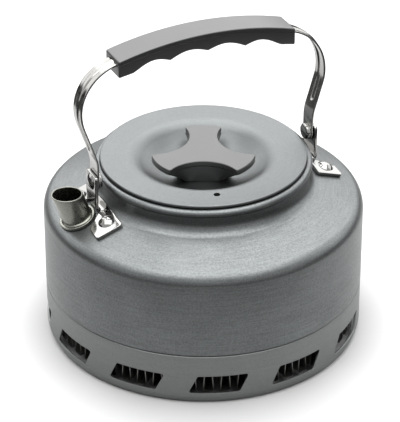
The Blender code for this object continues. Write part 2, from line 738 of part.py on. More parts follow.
def build_strap():
    """Bail strap as one solid: rounded ends, vertical feet, leaning legs, wide bends and a flat run in the grip."""
    half = strap_half_path()
    half_width = 0.5 * STRAP_WIDTH
    rib = 0.5 * RIB_WIDTH
    across = [-1.0, -rib / half_width, -0.45 * rib / half_width, 0.45 * rib / half_width, rib / half_width, 1.0]
    raised = [0.0, 0.0, 1.0, 1.0, 0.0, 0.0]
    path = [(x, z, 1.0) for x, z in half]
    for angle in (30.0, 60.0, 90.0):
        a = math.radians(angle)
        path.append((STRAP_X, PIVOT_Z - half_width * math.sin(a), math.cos(a)))
    full = [(-x, z, w) for x, z, w in reversed(path)] + path[1:]
    inner = offset_path([(x, z) for x, z, _ in full], STRAP_SHEET)
    rings = []
    for i, (x, z, width) in enumerate(full):
        ox, oz = x - inner[i][0], z - inner[i][1]
        length = math.hypot(ox, oz)
        strength = rib_strength(abs(x), z) * RIB_HEIGHT / length
        outside = []
        inside = []
        for part, up in zip(across, raised):
            y = part * half_width * max(width, 0.0)
            lift = strength * up
            outside.append((x + ox * lift, y, z + oz * lift))
            inside.append((inner[i][0] + ox * lift, y, inner[i][1] + oz * lift))
        rings.append(outside + inside[::-1])
    bm = bmesh.new()
    rows = [[bm.verts.new(p) for p in ring] for ring in rings]
    count = len(rows[0])
    for a, b in zip(rows, rows[1:]):
        for i in range(count):
            j = (i + 1) % count
            bm.faces.new((a[i], a[j], b[j], b[i]))
    ob = finish_mesh("handle_strap", bm, STEEL, origin=(0.0, 0.0, PIVOT_Z))
    for name, sign in (("spout_side", -1.0), ("far_side", 1.0)):
        hole = rod(RIVET_RADIUS + GAP, (sign * STRAP_X, 0.0, PIVOT_Z), (sign, 0.0, 0.0), -3.0 * MM, 2.0 * MM)
        boolean(ob, hole, "DIFFERENCE", f"cut_strap_pivot_hole_{name}")
        seat = (sign * PEG_X, 0.0, strap_height(PEG_X))
        hole = rod(PEG_RADIUS + GAP, seat, (0.0, 0.0, 1.0), -3.0 * MM, 2.0 * MM)
        boolean(ob, hole, "DIFFERENCE", f"cut_strap_peg_hole_{name}")
    return ob


def grip_underside(x):
    """Depth of the grip's underside below its apex at |x|: sloping end blocks and four finger grooves."""
    place = abs(x) / GRIP_HALF
    knots = [(0.0, 9.2), (0.413, 10.0), (0.826, 13.0), (1.0, 14.2)]
    if place > 0.85:
        return GRIP_DEPTH + GRIP_END_SLOPE * (place - 0.85) * GRIP_HALF
    if place >= 0.826:
        return 13.0 / 14.2 * GRIP_DEPTH
    for (a, deep_a), (b, deep_b) in zip(knots, knots[1:]):
        if place <= b + 1e-9:
            t = min(1.0, max(0.0, (place - a) / (b - a)))
            line = (deep_a + (deep_b - deep_a) * t) / 14.2 * GRIP_DEPTH
            return line - 0.86 * GROOVE_DEPTH * max(0.0, math.sin(math.pi * t)) ** 0.8
    return GRIP_DEPTH


def grip_stations():
    """Positions along the grip where its sections are laid."""
    groove = 0.413
    half = [groove * t for t in (0.0, 0.08, 0.22, 0.4, 0.6, 0.78, 0.92)]
    half += [groove * (1.0 + t) for t in (0.0, 0.08, 0.22, 0.4, 0.6, 0.78, 0.92)]
    half += [0.826, 0.855, 1.0 - 1.2 * MM / GRIP_HALF, 1.0]
    return [-p * GRIP_HALF for p in reversed(half)] + [p * GRIP_HALF for p in half[1:]]


def build_grip():
    """Two plastic mouldings round the strap: a channel with pegs below, and a cap above."""
    half = 0.5 * GRIP_WIDTH
    channel = 0.5 * STRAP_WIDTH + GAP
    end = 0.25 * MM
    lower = []
    upper = []
    for x in grip_stations():
        strap = strap_height(x)
        top = STRAP_ARC_Z + math.sqrt(GRIP_ARC_RADIUS * GRIP_ARC_RADIUS - x * x)
        pinch = end if abs(abs(x) - GRIP_HALF) < 1e-9 else 0.0
        side = half - pinch
        bottom = GRIP_TOP - grip_underside(x) + pinch
        floor = strap - STRAP_SHEET - GAP
        edge = min(GRIP_EDGE, 0.4 * (floor - bottom))
        section = [
            (side, strap),
            (side, bottom + edge),
            (side - 0.3 * edge, bottom + 0.3 * edge),
            (side - edge, bottom),
            (edge - side, bottom),
            (0.3 * edge - side, bottom + 0.3 * edge),
            (-side, bottom + edge),
            (-side, strap),
            (-channel, strap),
            (-channel, floor),
            (channel, floor),
            (channel, strap),
        ]
        lower.append([(x, y, z) for y, z in section])
        under = strap + GAP
        over = top - pinch
        room = RIB_HEIGHT + GAP if abs(x) > GRIP_HALF - 8.0 * MM else 0.0
        groove = 0.5 * RIB_WIDTH + GAP
        section = [
            (side, under),
            (side, over - 0.75 * GRIP_EDGE),
            (side - 0.25 * GRIP_EDGE, over - 0.25 * GRIP_EDGE),
            (side - GRIP_EDGE, over),
            (GRIP_EDGE - side, over),
            (0.25 * GRIP_EDGE - side, over - 0.25 * GRIP_EDGE),
            (-side, over - 0.75 * GRIP_EDGE),
            (-side, under),
            (-groove - room, under),
            (-groove, under + room),
            (groove, under + room),
            (groove + room, under),
        ]
        upper.append([(x, y, z) for y, z in section])
    origin = (0.0, 0.0, PIVOT_Z)
    low = finish_mesh("grip_lower", loft(lower), PLASTIC, origin)
    cap = finish_mesh("grip_upper", loft(upper), PLASTIC, origin)
    for name, sign in (("spout_side", -1.0), ("far_side", 1.0)):
        seat = (sign * PEG_X, 0.0, strap_height(PEG_X))
        root = -STRAP_SHEET - GAP - 1.0 * MM
        peg = rod(PEG_RADIUS, seat, (0.0, 0.0, 1.0), root, GAP + PEG_IN_CAP, 16)
        boolean(low, peg, "UNION", f"add_peg_{name}")
        socket = rod(PEG_RADIUS + GAP, seat, (0.0, 0.0, 1.0), -1.0 * MM, 2.0 * GAP + PEG_IN_CAP, 16)
        boolean(cap, socket, "DIFFERENCE", f"cut_peg_socket_{name}")


def build_lid():
    """Pressed lid in one sheet: sunk dish, flat band, hemmed rim over the bead and a plug skirt below."""
    hole = SCREW_RADIUS + GAP
    flat_r = 0.44 * DISH_RADIUS
    dish = [(hole, DISH_FLOOR), (flat_r, DISH_FLOOR)]
    for i in range(1, 7):
        t = i / 6.0
        dish.append((flat_r + (DISH_RADIUS - flat_r) * t, DISH_FLOOR + DISH_DEPTH * t**1.7))
    under = offset_path(dish + [(DISH_RADIUS + 5.0 * MM, LID_TOP)], LID_SHEET)[:-1]
    rim = LID_TOP - LID_RIM
    edge = 0.6 * MM
    skirt_end = rim - SKIRT_LENGTH
    profile = dish + [
        (LID_RADIUS - edge, LID_TOP),
        (LID_RADIUS - 0.3 * edge, LID_TOP - 0.3 * edge),
        (LID_RADIUS, LID_TOP - edge),
        (LID_RADIUS, rim + 0.4 * MM),
        (LID_RADIUS - 0.4 * MM, rim),
        (SKIRT_RADIUS, rim),
        (SKIRT_RADIUS, skirt_end + 0.5 * MM),
        (SKIRT_RADIUS - 0.3 * MM, skirt_end),
        (SKIRT_RADIUS - SKIRT_SHEET, skirt_end),
        (SKIRT_RADIUS - SKIRT_SHEET, LID_TOP - LID_SHEET),
    ]
    profile += under[::-1]
    bm = revolve(profile, LID_SEGMENTS)
    ob = finish_mesh("lid_shell", bm, ALUMINIUM)
    reach = 0.5 * (DISH_RADIUS + SKIRT_RADIUS) - 1.2 * MM
    spot = (reach * math.cos(VENT_AZIMUTH), reach * math.sin(VENT_AZIMUTH), LID_TOP)
    vent = rod(VENT_RADIUS, spot, (0.0, 0.0, 1.0), -3.0 * MM, 2.0 * MM, 16)
    boolean(ob, vent, "DIFFERENCE", "cut_vent_hole")
    return ob


def knob_outline(inset):
    """Three-lobed outline, moved inward by `inset`; every corner keeps its centre."""
    bite = BITE_RATIO * KNOB_RADIUS
    centre_r = BITE_CENTRE_RATIO * KNOB_RADIUS
    soft = 0.09 * KNOB_RADIUS
    lobe_r = KNOB_RADIUS - soft
    reach = bite + soft
    cos_a = (lobe_r * lobe_r + centre_r * centre_r - reach * reach) / (2.0 * lobe_r * centre_r)
    corner_a = math.acos(max(-1.0, min(1.0, cos_a)))
    points = []
    for k in range(3):
        bite_a = KNOB_LOBE_AZIMUTH + math.pi / 3.0 + k * 2.0 * math.pi / 3.0
        centre = Vector((centre_r * math.cos(bite_a), centre_r * math.sin(bite_a)))
        first = Vector((lobe_r * math.cos(bite_a - corner_a), lobe_r * math.sin(bite_a - corner_a)))
        second = Vector((lobe_r * math.cos(bite_a + corner_a), lobe_r * math.sin(bite_a + corner_a)))
        start = math.atan2(first.y - centre.y, first.x - centre.x)
        end = math.atan2(second.y - centre.y, second.x - centre.x)
        sweep = (end - start) % (2.0 * math.pi) - 2.0 * math.pi
        for i in range(5):
            a = bite_a - corner_a + ((start + math.pi) - (bite_a - corner_a)) % (2.0 * math.pi) * i / 4.0
            points.append((first.x + (soft - inset) * math.cos(a), first.y + (soft - inset) * math.sin(a)))
        for i in range(1, 8):
            a = start + sweep * i / 8.0
            points.append((centre.x + (bite + inset) * math.cos(a), centre.y + (bite + inset) * math.sin(a)))
        for i in range(5):
            a0 = end + math.pi
            a = a0 + ((bite_a + corner_a) - a0) % (2.0 * math.pi) * i / 4.0
            points.append((second.x + (soft - inset) * math.cos(a), second.y + (soft - inset) * math.sin(a)))
        lobe = 2.0 * math.pi / 3.0 - 2.0 * corner_a
        for i in range(1, 5):
            a = bite_a + corner_a + lobe * i / 5.0
            points.append(((KNOB_RADIUS - inset) * math.cos(a), (KNOB_RADIUS - inset) * math.sin(a)))
    return points


def build_knob():
    """Knob moulding: three-lobed plate on a stem that flares out of a round foot, bored for the screw."""
    top = LID_TOP + KNOB_RISE
    plate = top - KNOB_THICKNESS
    stem_end = DISH_FLOOR + GAP
    rings = []
    for part in (0.0, 0.2, 0.4, 0.6, 0.8, 1.0):
        ring = []
        for x, y in knob_outline(KNOB_LEDGE):
            foot = STEM_RADIUS / math.hypot(x, y)
            share = foot + (1.0 - foot) * part**1.15
            ring.append((x * share, y * share, stem_end + (plate - stem_end) * part))
        rings.append(ring)
    layers = [
        (0.5 * MM, plate),
        (0.0, plate + 0.5 * MM),
        (0.0, top - 0.7 * MM),
        (0.2 * MM, top - 0.2 * MM),
        (0.7 * MM, top),
    ]
    rings += [[(x, y, z) for x, y in knob_outline(inset)] for inset, z in layers]
    ob = finish_mesh("lid_knob", loft(rings), PLASTIC)
    bore = rod(SCREW_RADIUS + GAP, (0.0, 0.0, stem_end), (0.0, 0.0, 1.0), -1.0 * MM, SCREW_BITE + 2.0 * GAP)
    boolean(ob, bore, "DIFFERENCE", "cut_knob_bore")

    washer_top = DISH_FLOOR - LID_SHEET - GAP
    washer_low = washer_top - KNOB_WASHER
    profile = [
        (SCREW_RADIUS + GAP, washer_top),
        (KNOB_WASHER_RADIUS, washer_top),
        (KNOB_WASHER_RADIUS, washer_low),
        (SCREW_RADIUS + GAP, washer_low),
    ]
    finish_mesh("knob_washer", revolve(profile, SMALL_SEGMENTS), PLAIN_STEEL)
    head_top = washer_low - GAP
    profile = [
        (0.0, stem_end + SCREW_BITE),
        (SCREW_RADIUS - 0.4 * MM, stem_end + SCREW_BITE),
        (SCREW_RADIUS, stem_end + SCREW_BITE - 0.4 * MM),
        (SCREW_RADIUS, head_top),
        (SCREW_HEAD_RADIUS, head_top),
        (SCREW_HEAD_RADIUS, head_top - 0.6 * SCREW_HEAD),
        (0.7 * SCREW_HEAD_RADIUS, head_top - SCREW_HEAD),
        (0.0, head_top - SCREW_HEAD),
    ]
    finish_mesh("knob_screw", revolve(profile, SMALL_SEGMENTS), PLAIN_STEEL)


clear_file()
build_body()
build_ring()
build_fins()
build_spout()
build_bracket("bracket_spout_side", -1.0)
build_bracket("bracket_far_side", 1.0)
build_rivets()
build_pivots()
build_strap()
build_grip()
build_lid()
build_knob()
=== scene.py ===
"""Looks of the camping kettle: fine meshes, finishes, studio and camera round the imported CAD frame."""

import math
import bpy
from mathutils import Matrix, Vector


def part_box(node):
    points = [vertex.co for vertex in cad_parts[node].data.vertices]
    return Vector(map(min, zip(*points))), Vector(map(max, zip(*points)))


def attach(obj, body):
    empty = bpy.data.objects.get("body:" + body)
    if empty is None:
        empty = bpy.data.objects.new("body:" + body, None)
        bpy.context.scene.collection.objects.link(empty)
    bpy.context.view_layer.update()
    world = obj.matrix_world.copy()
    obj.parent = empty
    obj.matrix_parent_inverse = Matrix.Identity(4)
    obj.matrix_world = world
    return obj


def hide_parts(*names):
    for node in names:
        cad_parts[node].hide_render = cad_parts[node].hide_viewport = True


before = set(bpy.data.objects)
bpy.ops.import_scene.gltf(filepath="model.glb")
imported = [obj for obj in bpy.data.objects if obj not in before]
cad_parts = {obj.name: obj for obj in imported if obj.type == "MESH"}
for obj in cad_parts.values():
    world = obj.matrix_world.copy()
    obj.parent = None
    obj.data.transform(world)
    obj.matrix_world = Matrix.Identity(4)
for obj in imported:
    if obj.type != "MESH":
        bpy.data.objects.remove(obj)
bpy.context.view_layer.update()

from types import SimpleNamespace

import bmesh
import bpy
from bpy.props import FloatProperty, FloatVectorProperty, IntProperty, PointerProperty
from mathutils import Matrix, Vector

bl_info = {
    "name": "Camping kettle looks",
    "version": (1, 0, 0),
    "blender": (4, 5, 0),
    "location": "3D View > Sidebar > Kettle",
    "description": "Builds the visible pieces, finishes, lights and camera of a camping kettle",
    "category": "Object",
}

MM = 0.001
ROUND_STEPS = 180
RIVET_SEED = 7

# Level directions as the camera sees them, and up
AHEAD = Vector((0.4305, 0.9026, 0.0))
SIDE = Vector((0.9026, -0.4305, 0.0))
UP = Vector((0.0, 0.0, 1.0))

# Finger grooves: ends as shares of the grip's half length, and depths under the grip's top there
GRIP_KNOTS = [(0.0, 9.0 * MM), (0.425, 10.3 * MM), (0.80, 12.4 * MM)]
BLOCK_START = 0.84


def size(label, millimetres, text):
    """A length that a user may change, given in millimetres."""
    return FloatProperty(
        name=label, description=text, default=millimetres * MM, min=0.0, precision=5, unit="LENGTH"
    )


def turn(label, degrees, text):
    """An angle that a user may change, given in degrees."""
    return FloatProperty(name=label, description=text, default=math.radians(degrees), subtype="ANGLE")


def share(label, value, text):
    """A plain number that a user may change."""
    return FloatProperty(name=label, description=text, default=value, precision=4)


def count(label, value, text):
    """A whole number that a user may change."""
    return IntProperty(name=label, description=text, default=value, min=1)


def colour(label, value, text):
    """A colour that a user may change."""
    return FloatVectorProperty(
        name=label, description=text, default=value, size=3, min=0.0, max=1.0, subtype="COLOR"
    )


class PotSizes(bpy.types.PropertyGroup):
    """Sizes of the pot, its ring, its fins and its spout."""

    wall_top: size("Wall top", 64.8, "Height where the wall starts to round over")
    shoulder_width: size("Shoulder width", 26.3, "From the wall in to the neck")
    shoulder_slope: turn("Shoulder slope", 20.0, "Slope of the cone")
    shoulder_round: size("Shoulder round", 6.4, "Radius between wall and shoulder")
    sheet: size("Pot sheet", 1.4, "Thickness of the pot's wall")
    gap: size("Gap", 0.3, "Clearance between pieces that touch")
    base_underside: size("Base underside", 17.0, "Height of the pot's base over the ground")
    base_inset: size("Base inset", 1.4, "How far the base stands inside the wall, to clear the ring")
    base_corner: size("Base corner", 1.5, "Radius under the pot")
    neck_fillet: size("Neck fillet", 6.0, "Hollow radius between shoulder and neck")
    neck_height: size("Neck height", 5.25, "From the fillet up to the bead")
    bead_radius: size("Bead radius", 2.0, "Radius of the rolled bead on the neck")
    seam_round: size("Seam round", 0.75, "Soft edges either side of the seam over the ring")
    ring_sheet: size("Ring sheet", 1.0, "Thickness of the ring")
    foot_round: size("Foot round", 4.2, "Height over which the ring's foot turns in")
    foot_lip: size("Foot lip", 1.3, "Width of the lip the kettle stands on")
    window_count: count("Windows", 12, "Windows round the ring")
    window_bottom: size("Window bottom", 5.9, "Lower edge of the windows")
    window_top: size("Window top", 15.3, "Upper edge of the windows")
    window_angle: turn("Window angle", 18.15, "Width of a window round the axis")
    window_slant: turn("Window slant", 3.35, "How far the top edge is shifted")
    window_start: turn("First window", 9.9, "Azimuth of the first window's middle")
    window_corner: size("Window corner", 1.0, "Radius of the windows' corners")
    fin_count: count("Fins", 57, "Folds of the strip under the base")
    fin_sheet: size("Fin sheet", 0.45, "Thickness of the folded strip")
    fin_bottom: size("Fin bottom", 4.8, "Lowest point of the folds")
    fin_depth: size("Fin depth", 27.0, "Radial length of the folds")
    fin_clearance: size("Fin clearance", 2.6, "Between the folds and the ring's inside")
    spout_radius: size("Spout radius", 7.1, "Outside radius of the spout at its foot")
    spout_mouth: size("Spout mouth", 7.25, "Outside radius of the spout at its mouth")
    spout_sheet: size("Spout sheet", 0.75, "Thickness of the spout's wall")
    spout_setback: size("Spout setback", 11.1, "From the wall in to the spout's foot")
    spout_lean: turn("Spout lean", 19.9, "Lean of the spout away from the lid")
    spout_rise: size("Spout rise", 14.9, "Height of the level mouth over the foot")
    spout_turn: turn("Spout turn", 0.92, "Azimuth of the spout past the bail's plane")
    collar_width: size("Collar width", 1.75, "Width of the collar round the spout's foot")
    collar_sheet: size("Collar sheet", 1.3, "Thickness of that collar")


class LidSizes(bpy.types.PropertyGroup):
    """Sizes of the lid and its knob."""

    sheet: size("Lid sheet", 1.2, "Thickness of the lid")
    rim: size("Lid rim", 1.5, "Height of the hemmed rim")
    dish_depth: size("Dish depth", 10.6, "Depth of the sunk middle")
    dish_ratio: share("Dish ratio", 0.654, "Dish radius as a share of the neck's")
    dish_floor_ratio: share("Dish floor ratio", 0.44, "Flat middle as a share of the dish")
    dish_round: size("Dish round", 3.4, "Soft edge where the dish meets the flat band")
    skirt_length: size("Skirt length", 7.4, "Length of the plug skirt")
    skirt_sheet: size("Skirt sheet", 0.8, "Thickness of the skirt")
    skirt_clearance: size("Skirt clearance", 0.5, "Between skirt and neck")
    vent_radius: size("Vent radius", 1.6, "Radius of the steam hole")
    vent_azimuth: turn("Vent azimuth", 253.6, "Where the steam hole sits")
    knob_ratio: share("Knob ratio", 0.494, "Knob radius as a share of the neck's")
    knob_rise: size("Knob rise", 1.8, "Height of the knob over the lid's flat band")
    knob_thickness: size("Knob thickness", 2.6, "Thickness of the three-lobed plate")
    knob_azimuth: turn("Knob azimuth", 64.5, "Direction of the first lobe")
    bite_ratio: share("Bite ratio", 0.723, "Radius of the hollows as a share of the knob's")
    bite_centre_ratio: share("Bite centre ratio", 1.146, "Where the hollows are struck from")
    stem_ratio: share("Stem ratio", 0.53, "Size of the stem's foot as a share of the knob's")
    stem_roundness: share("Stem roundness", 0.6, "How round the foot of the stem is, from lobed to round")
    knob_corner: share("Knob corner", 0.05, "Radius of the lobes' corners as a share of the knob's")
    knob_ledge: size("Knob ledge", 0.3, "How far the flared stem stands out under the plate")
    knob_edge: size("Knob edge", 0.5, "Soft top edge of the knob")


class BailSizes(bpy.types.PropertyGroup):
    """Sizes of the brackets, rivets, strap and grip."""

    bracket_sheet: size("Bracket sheet", 1.4, "Thickness of the brackets")
    bracket_inner: size("Bracket inner", 1.1, "From the neck out to the foot's inner edge")
    bracket_reach: size("Bracket reach", 14.2, "From the neck out to the foot's outer edge")
    bracket_half: size("Bracket half", 20.8, "Half length of the foot")
    bracket_notch: size("Bracket notch", 12.2, "Where the outer edge starts")
    bracket_shift: size("Bracket shift", 1.5, "Foot set to one side of the ear")
    bracket_corner: size("Bracket corner", 1.2, "Radius of the foot's corners")
    bracket_edge: size("Bracket edge", 0.22, "Softened edge of the sheet")
    bend_radius: size("Bend radius", 1.0, "Inside radius of the bend")
    bend_length: size("Bend length", 3.0, "Flat length that is bent")
    ear_offset: size("Ear offset", 6.3, "From the neck out to the ear")
    ear_half: size("Ear half", 5.7, "Half width of the ear")
    ear_above: size("Ear above pivot", 4.4, "Height of the ear over the pivot")
    ear_corner: size("Ear corner", 1.5, "Radius of the ear's corners")
    pivot_above: size("Pivot above bead", 3.0, "Height of the pivot over the bead's centre")
    rivet_offset: size("Rivet offset", 7.3, "From the neck out to the rivets")
    rivet_spread: size("Rivet spread", 14.0, "Half distance between a foot's rivets")
    rivet_turn: size("Rivet turn", 1.0, "Rivets set in and out, as the foot is turned")
    rivet_radius: size("Rivet radius", 2.0, "Shank radius")
    rivet_head_radius: size("Rivet head radius", 4.0, "Radius of the domed heads")
    rivet_head: size("Rivet head", 2.0, "Height of the domed heads")
    rivet_tail_radius: size("Rivet tail radius", 3.2, "Radius of the tails inside the pot")
    rivet_tail: size("Rivet tail", 1.2, "Height of the tails")
    pivot_head_radius: size("Pivot head radius", 4.1, "Radius of the pivots' heads")
    pivot_outer_head: size("Pivot outer head", 1.4, "Height of the outer heads")
    pivot_inner_head: size("Pivot inner head", 1.4, "Height of the inner heads")
    washer_radius: size("Washer radius", 4.0, "Radius of the pivots' washers")
    washer_sheet: size("Washer sheet", 0.7, "Thickness of those washers")
    strap_width: size("Strap width", 9.0, "Width of the bail's strap")
    strap_sheet: size("Strap sheet", 1.0, "Thickness of the strap")
    strap_edge: size("Strap edge", 0.2, "Softened edge of the strap")
    knee_above: size("Knee above pivot", 10.8, "Height of the strap's knee over the pivot")
    knee_radius: size("Knee radius", 22.0, "Radius of the knee")
    leg_lean: turn("Leg lean", 17.7, "Lean of the legs above the knee")
    bail_shift: size("Bail shift", 1.0, "How far the bail's top stands to the spout side")
    bail_dip: share("Bail dip", 0.024, "How far the bail's top dips to the far side, per length")
    rib_height: size("Rib height", 0.55, "How far the pressed rib stands out")
    rib_width: size("Rib width", 3.4, "Width of the pressed rib")
    rib_side: size("Rib side", 0.7, "Width of the rib's sloping sides")
    rib_above: size("Rib above pivot", 16.4, "Height where the rib starts over the pivot")
    fold_clearance: size("Fold clearance", 2.0, "Between the folded grip and the bead")
    grip_depth: size("Grip depth", 14.2, "Height of the grip's top over the folded grip's foot")
    block_depth: size("Block depth", 13.3, "Depth of the grip at its ends")
    grip_bow: size("Grip bow", 6.27, "How far the grip's ends lie under its middle")
    grip_setback: size("Grip setback", 11.6, "From the strap's foot in to the grip's end")
    grip_width: size("Grip width", 15.0, "Width of the grip")
    grip_edge: size("Grip edge", 0.6, "Radius of the grip's long edges")
    grip_end: size("Grip end", 0.6, "Radius of the grip's ends")
    cap_height: size("Cap height", 2.3, "From the strap up to the grip's top")
    groove_depth: size("Groove depth", 2.56, "Depth of the finger grooves")
    grip_slope: share("Grip end slope", 0.18, "Slope of the underside at the grip's ends")


class Finishes(bpy.types.PropertyGroup):
    """Colours and roughness of the kettle's surfaces."""

    aluminium: colour("Anodised aluminium", (0.134, 0.141, 0.142), "Hard anodised grey of pot, lid and ring")
    ring: colour("Ring aluminium", (0.176, 0.181, 0.180), "Slightly paler grey of the ring")
    fins: colour("Fin aluminium", (0.16, 0.16, 0.15), "Plain aluminium of the fins")
    steel: colour("Polished steel", (0.27, 0.268, 0.261), "Brackets, rivets and strap")
    strap: colour("Strap steel", (0.295, 0.292, 0.283), "Fine-brushed steel of the bail")
    tube: colour("Spout metal", (0.19, 0.192, 0.171), "Satin metal of the spout")
    plain: colour("Plain steel", (0.45, 0.45, 0.44), "Washers and screw")
    plastic: colour("Black plastic", (0.005, 0.005, 0.005), "Grip and knob")
    satin: share("Satin", 0.42, "Roughness of the anodised surfaces")
    polish: share("Polish", 0.09, "Roughness of the polished steel")
    gloss: share("Plastic roughness", 0.34, "Roughness of the plastic")


class Studio(bpy.types.PropertyGroup):
    """Camera and lights."""

    lens: share("Lens", 211.4, "Focal length in millimetres on a 36 mm long side")
    back_light: share("Back light", 2.1, "Brightness of the low soft light behind")
    top_light: share("Top light", 3.8, "Brightness of the soft lights overhead")
    front_light: share("Front light", 3.4, "Brightness of the foremost overhead light")
    side_light: share("Side light", 1.5, "Brightness of the low soft lights at both sides")
    room: share("Room", 0.25, "Brightness of the room as it lights the kettle")
    floor: colour("Floor", (0.50, 0.50, 0.50), "Plain pale floor")
    # painted dark reflection: where the dark brim, seen only in gloss, begins in front of the kettle
    brim_front_radius: share("Front table", 0.19, "Radius in front of the kettle where the table ends, in metres")
    # painted light: glow added where the floor is seen directly and in gloss, brighter behind the kettle
    # than in front
    floor_glow: share("Floor glow", 0.3, "Backdrop white added to the floor as it is seen")


def plan():
    """All sizes in one place: the user's own, the frame's, and those that follow from them."""
    scene = bpy.context.scene
    p, l, b = scene.pot_sizes, scene.lid_sizes, scene.bail_sizes
    s = SimpleNamespace(pot=p, lid=l, bail=b)
    s.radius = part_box("kettle_body")[1].x
    s.ring_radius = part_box("heat_exchanger_ring")[1].x
    s.ring_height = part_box("heat_exchanger_ring")[1].z
    s.sin, s.cos, s.tan = (f(p.shoulder_slope) for f in (math.sin, math.cos, math.tan))
    s.neck = s.radius - p.shoulder_width
    s.round_r = s.radius - p.shoulder_round
    s.cone_out = (s.round_r + p.shoulder_round * s.sin, p.wall_top + p.shoulder_round * s.cos)
    s.fillet_r = s.neck + p.neck_fillet
    s.cone_in_r = s.fillet_r - p.neck_fillet * s.sin
    s.cone_in = (s.cone_in_r, s.cone_out[1] + (s.cone_out[0] - s.cone_in_r) * s.tan)
    s.fillet_z = s.cone_in[1] + p.neck_fillet * s.cos
    s.bead = (s.neck - 0.5 * p.sheet, s.fillet_z + p.neck_height)
    s.pivot_z = s.bead[1] + b.pivot_above
    s.lid_low, s.lid_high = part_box("lid_shell")
    s.lid_top = s.lid_high.z
    s.lid_radius = s.lid_high.x
    s.skirt_r = s.bead[0] - p.bead_radius - l.skirt_clearance
    s.dish_r = l.dish_ratio * s.neck
    s.dish_z = s.lid_top - l.dish_depth
    s.knob_r = l.knob_ratio * s.neck
    s.ear_x = s.neck + b.ear_offset
    s.strap_x = s.ear_x - p.gap
    s.grip_half = s.strap_x - b.grip_setback
    s.grip_top = s.pivot_z + s.bead[0] + p.bead_radius + b.fold_clearance + b.grip_depth
    s.arc = (s.grip_half**2 + b.grip_bow**2) / (2.0 * b.grip_bow)
    s.strap_arc = s.arc - b.cap_height
    s.arc_z = s.grip_top - s.arc
    return s


def arc(centre, radius, start, end, steps):
    """Points of an arc in the plane, both ends included."""
    points = []
    for i in range(steps + 1):
        a = start + (end - start) * i / steps
        points.append((centre[0] + radius * math.cos(a), centre[1] + radius * math.sin(a)))
    return points


def fillet(before, vertex, after, radius, steps):
    """Arc points that round one corner of a path in the plane."""
    p = Vector(vertex)
    a = (Vector(before) - p).normalized()
    b = (Vector(after) - p).normalized()
    half = 0.5 * a.angle(b)
    reach = radius / math.tan(half)
    centre = p + (a + b).normalized() * (radius / math.sin(half))
    start = p + a * reach - centre
    end = p + b * reach - centre
    sweep = start.angle_signed(end)
    return [tuple(centre + Matrix.Rotation(-sweep * k / steps, 2) @ start) for k in range(steps + 1)]


def refined(points, step):
    """The same closed outline with no straight stretch longer than `step`."""
    result = []
    for a, b in zip(points, points[1:] + points[:1]):
        result.append(a)
        length = math.hypot(b[0] - a[0], b[1] - a[1])
        parts = max(1, math.ceil(length / step))
        for k in range(1, parts):
            result.append((a[0] + (b[0] - a[0]) * k / parts, a[1] + (b[1] - a[1]) * k / parts))
    return result


def frame_along(origin, direction):
    """Matrix that puts local +Z along `direction` at `origin`."""
    aimed = Vector(direction).to_track_quat("Z", "Y").to_matrix().to_4x4()
    return Matrix.Translation(Vector(origin)) @ aimed


def turned(profile, steps, matrix=None):
    """Closed (radius, height) profile turned round Z; points on the axis become poles."""
    bm = bmesh.new()
    rows = []
    for r, z in profile:
        if r < 1e-7:
            rows.append([bm.verts.new((0.0, 0.0, z))])
            continue
        row = []
        for i in range(steps):
            a = 2.0 * math.pi * i / steps
            row.append(bm.verts.new((r * math.cos(a), r * math.sin(a), z)))
        rows.append(row)
    for a, b in zip(rows, rows[1:] + rows[:1]):
        if len(a) == 1 and len(b) == 1:
            continue
        for i in range(steps):
            j = (i + 1) % steps
            corners = [a[0]] if len(a) == 1 else [a[i], a[j]]
            corners += [b[0]] if len(b) == 1 else [b[j], b[i]]
            bm.faces.new(corners)
    if matrix is not None:
        bmesh.ops.transform(bm, matrix=matrix, verts=bm.verts)
    return bm


def lofted(rings, closed=False):
    """Skin equal rings of points; `closed` joins the last ring to the first, else both ends are capped."""
    bm = bmesh.new()
    rows = [[bm.verts.new(p) for p in ring] for ring in rings]
    number = len(rows[0])
    pairs = list(zip(rows, rows[1:]))
    if closed:
        pairs.append((rows[-1], rows[0]))
    for a, b in pairs:
        for i in range(number):
            j = (i + 1) % number
            bm.faces.new((a[i], a[j], b[j], b[i]))
    if not closed:
        bm.faces.new(rows[0][::-1])
        bm.faces.new(rows[-1])
    return bm


def smooth(mesh, degrees=35.0):
    """Smooth shading with sharp edges kept."""
    for face in mesh.polygons:
        face.use_smooth = True
    mesh.set_sharp_from_angle(angle=math.radians(degrees))


def new_object(name, data):
    """New object in the scene."""
    ob = bpy.data.objects.new(name, data)
    bpy.context.scene.collection.objects.link(ob)
    return ob


def drop(ob):
    """Removes an object and its mesh."""
    mesh = ob.data
    bpy.data.objects.remove(ob)
    bpy.data.meshes.remove(mesh)


def piece(name, bm, finish, degrees=35.0, merge=1e-7):
    """Named object at the origin from a bmesh in the frame's own metres."""
    bmesh.ops.remove_doubles(bm, verts=bm.verts, dist=merge)
    bmesh.ops.recalc_face_normals(bm, faces=bm.faces)
    mesh = bpy.data.meshes.new(name)
    bm.to_mesh(mesh)
    bm.free()
    smooth(mesh, degrees)
    if finish is not None:
        mesh.materials.append(finish)
    return new_object(name, mesh)


def make_plain(ob):
    """Turns the evaluated object into a plain mesh and takes its modifiers off."""
    bpy.context.view_layer.update()
    evaluated = ob.evaluated_get(bpy.context.evaluated_depsgraph_get())
    mesh = bpy.data.meshes.new_from_object(evaluated)
    ob.modifiers.clear()
    old = ob.data
    ob.data = mesh
    bpy.data.meshes.remove(old)
    mesh.name = ob.name
    smooth(mesh)


def cut(ob, tool):
    """Cuts another mesh away, then removes it."""
    step = ob.modifiers.new("cut", "BOOLEAN")
    step.operation = "DIFFERENCE"
    step.solver = "EXACT"
    step.object = tool
    make_plain(ob)
    drop(tool)


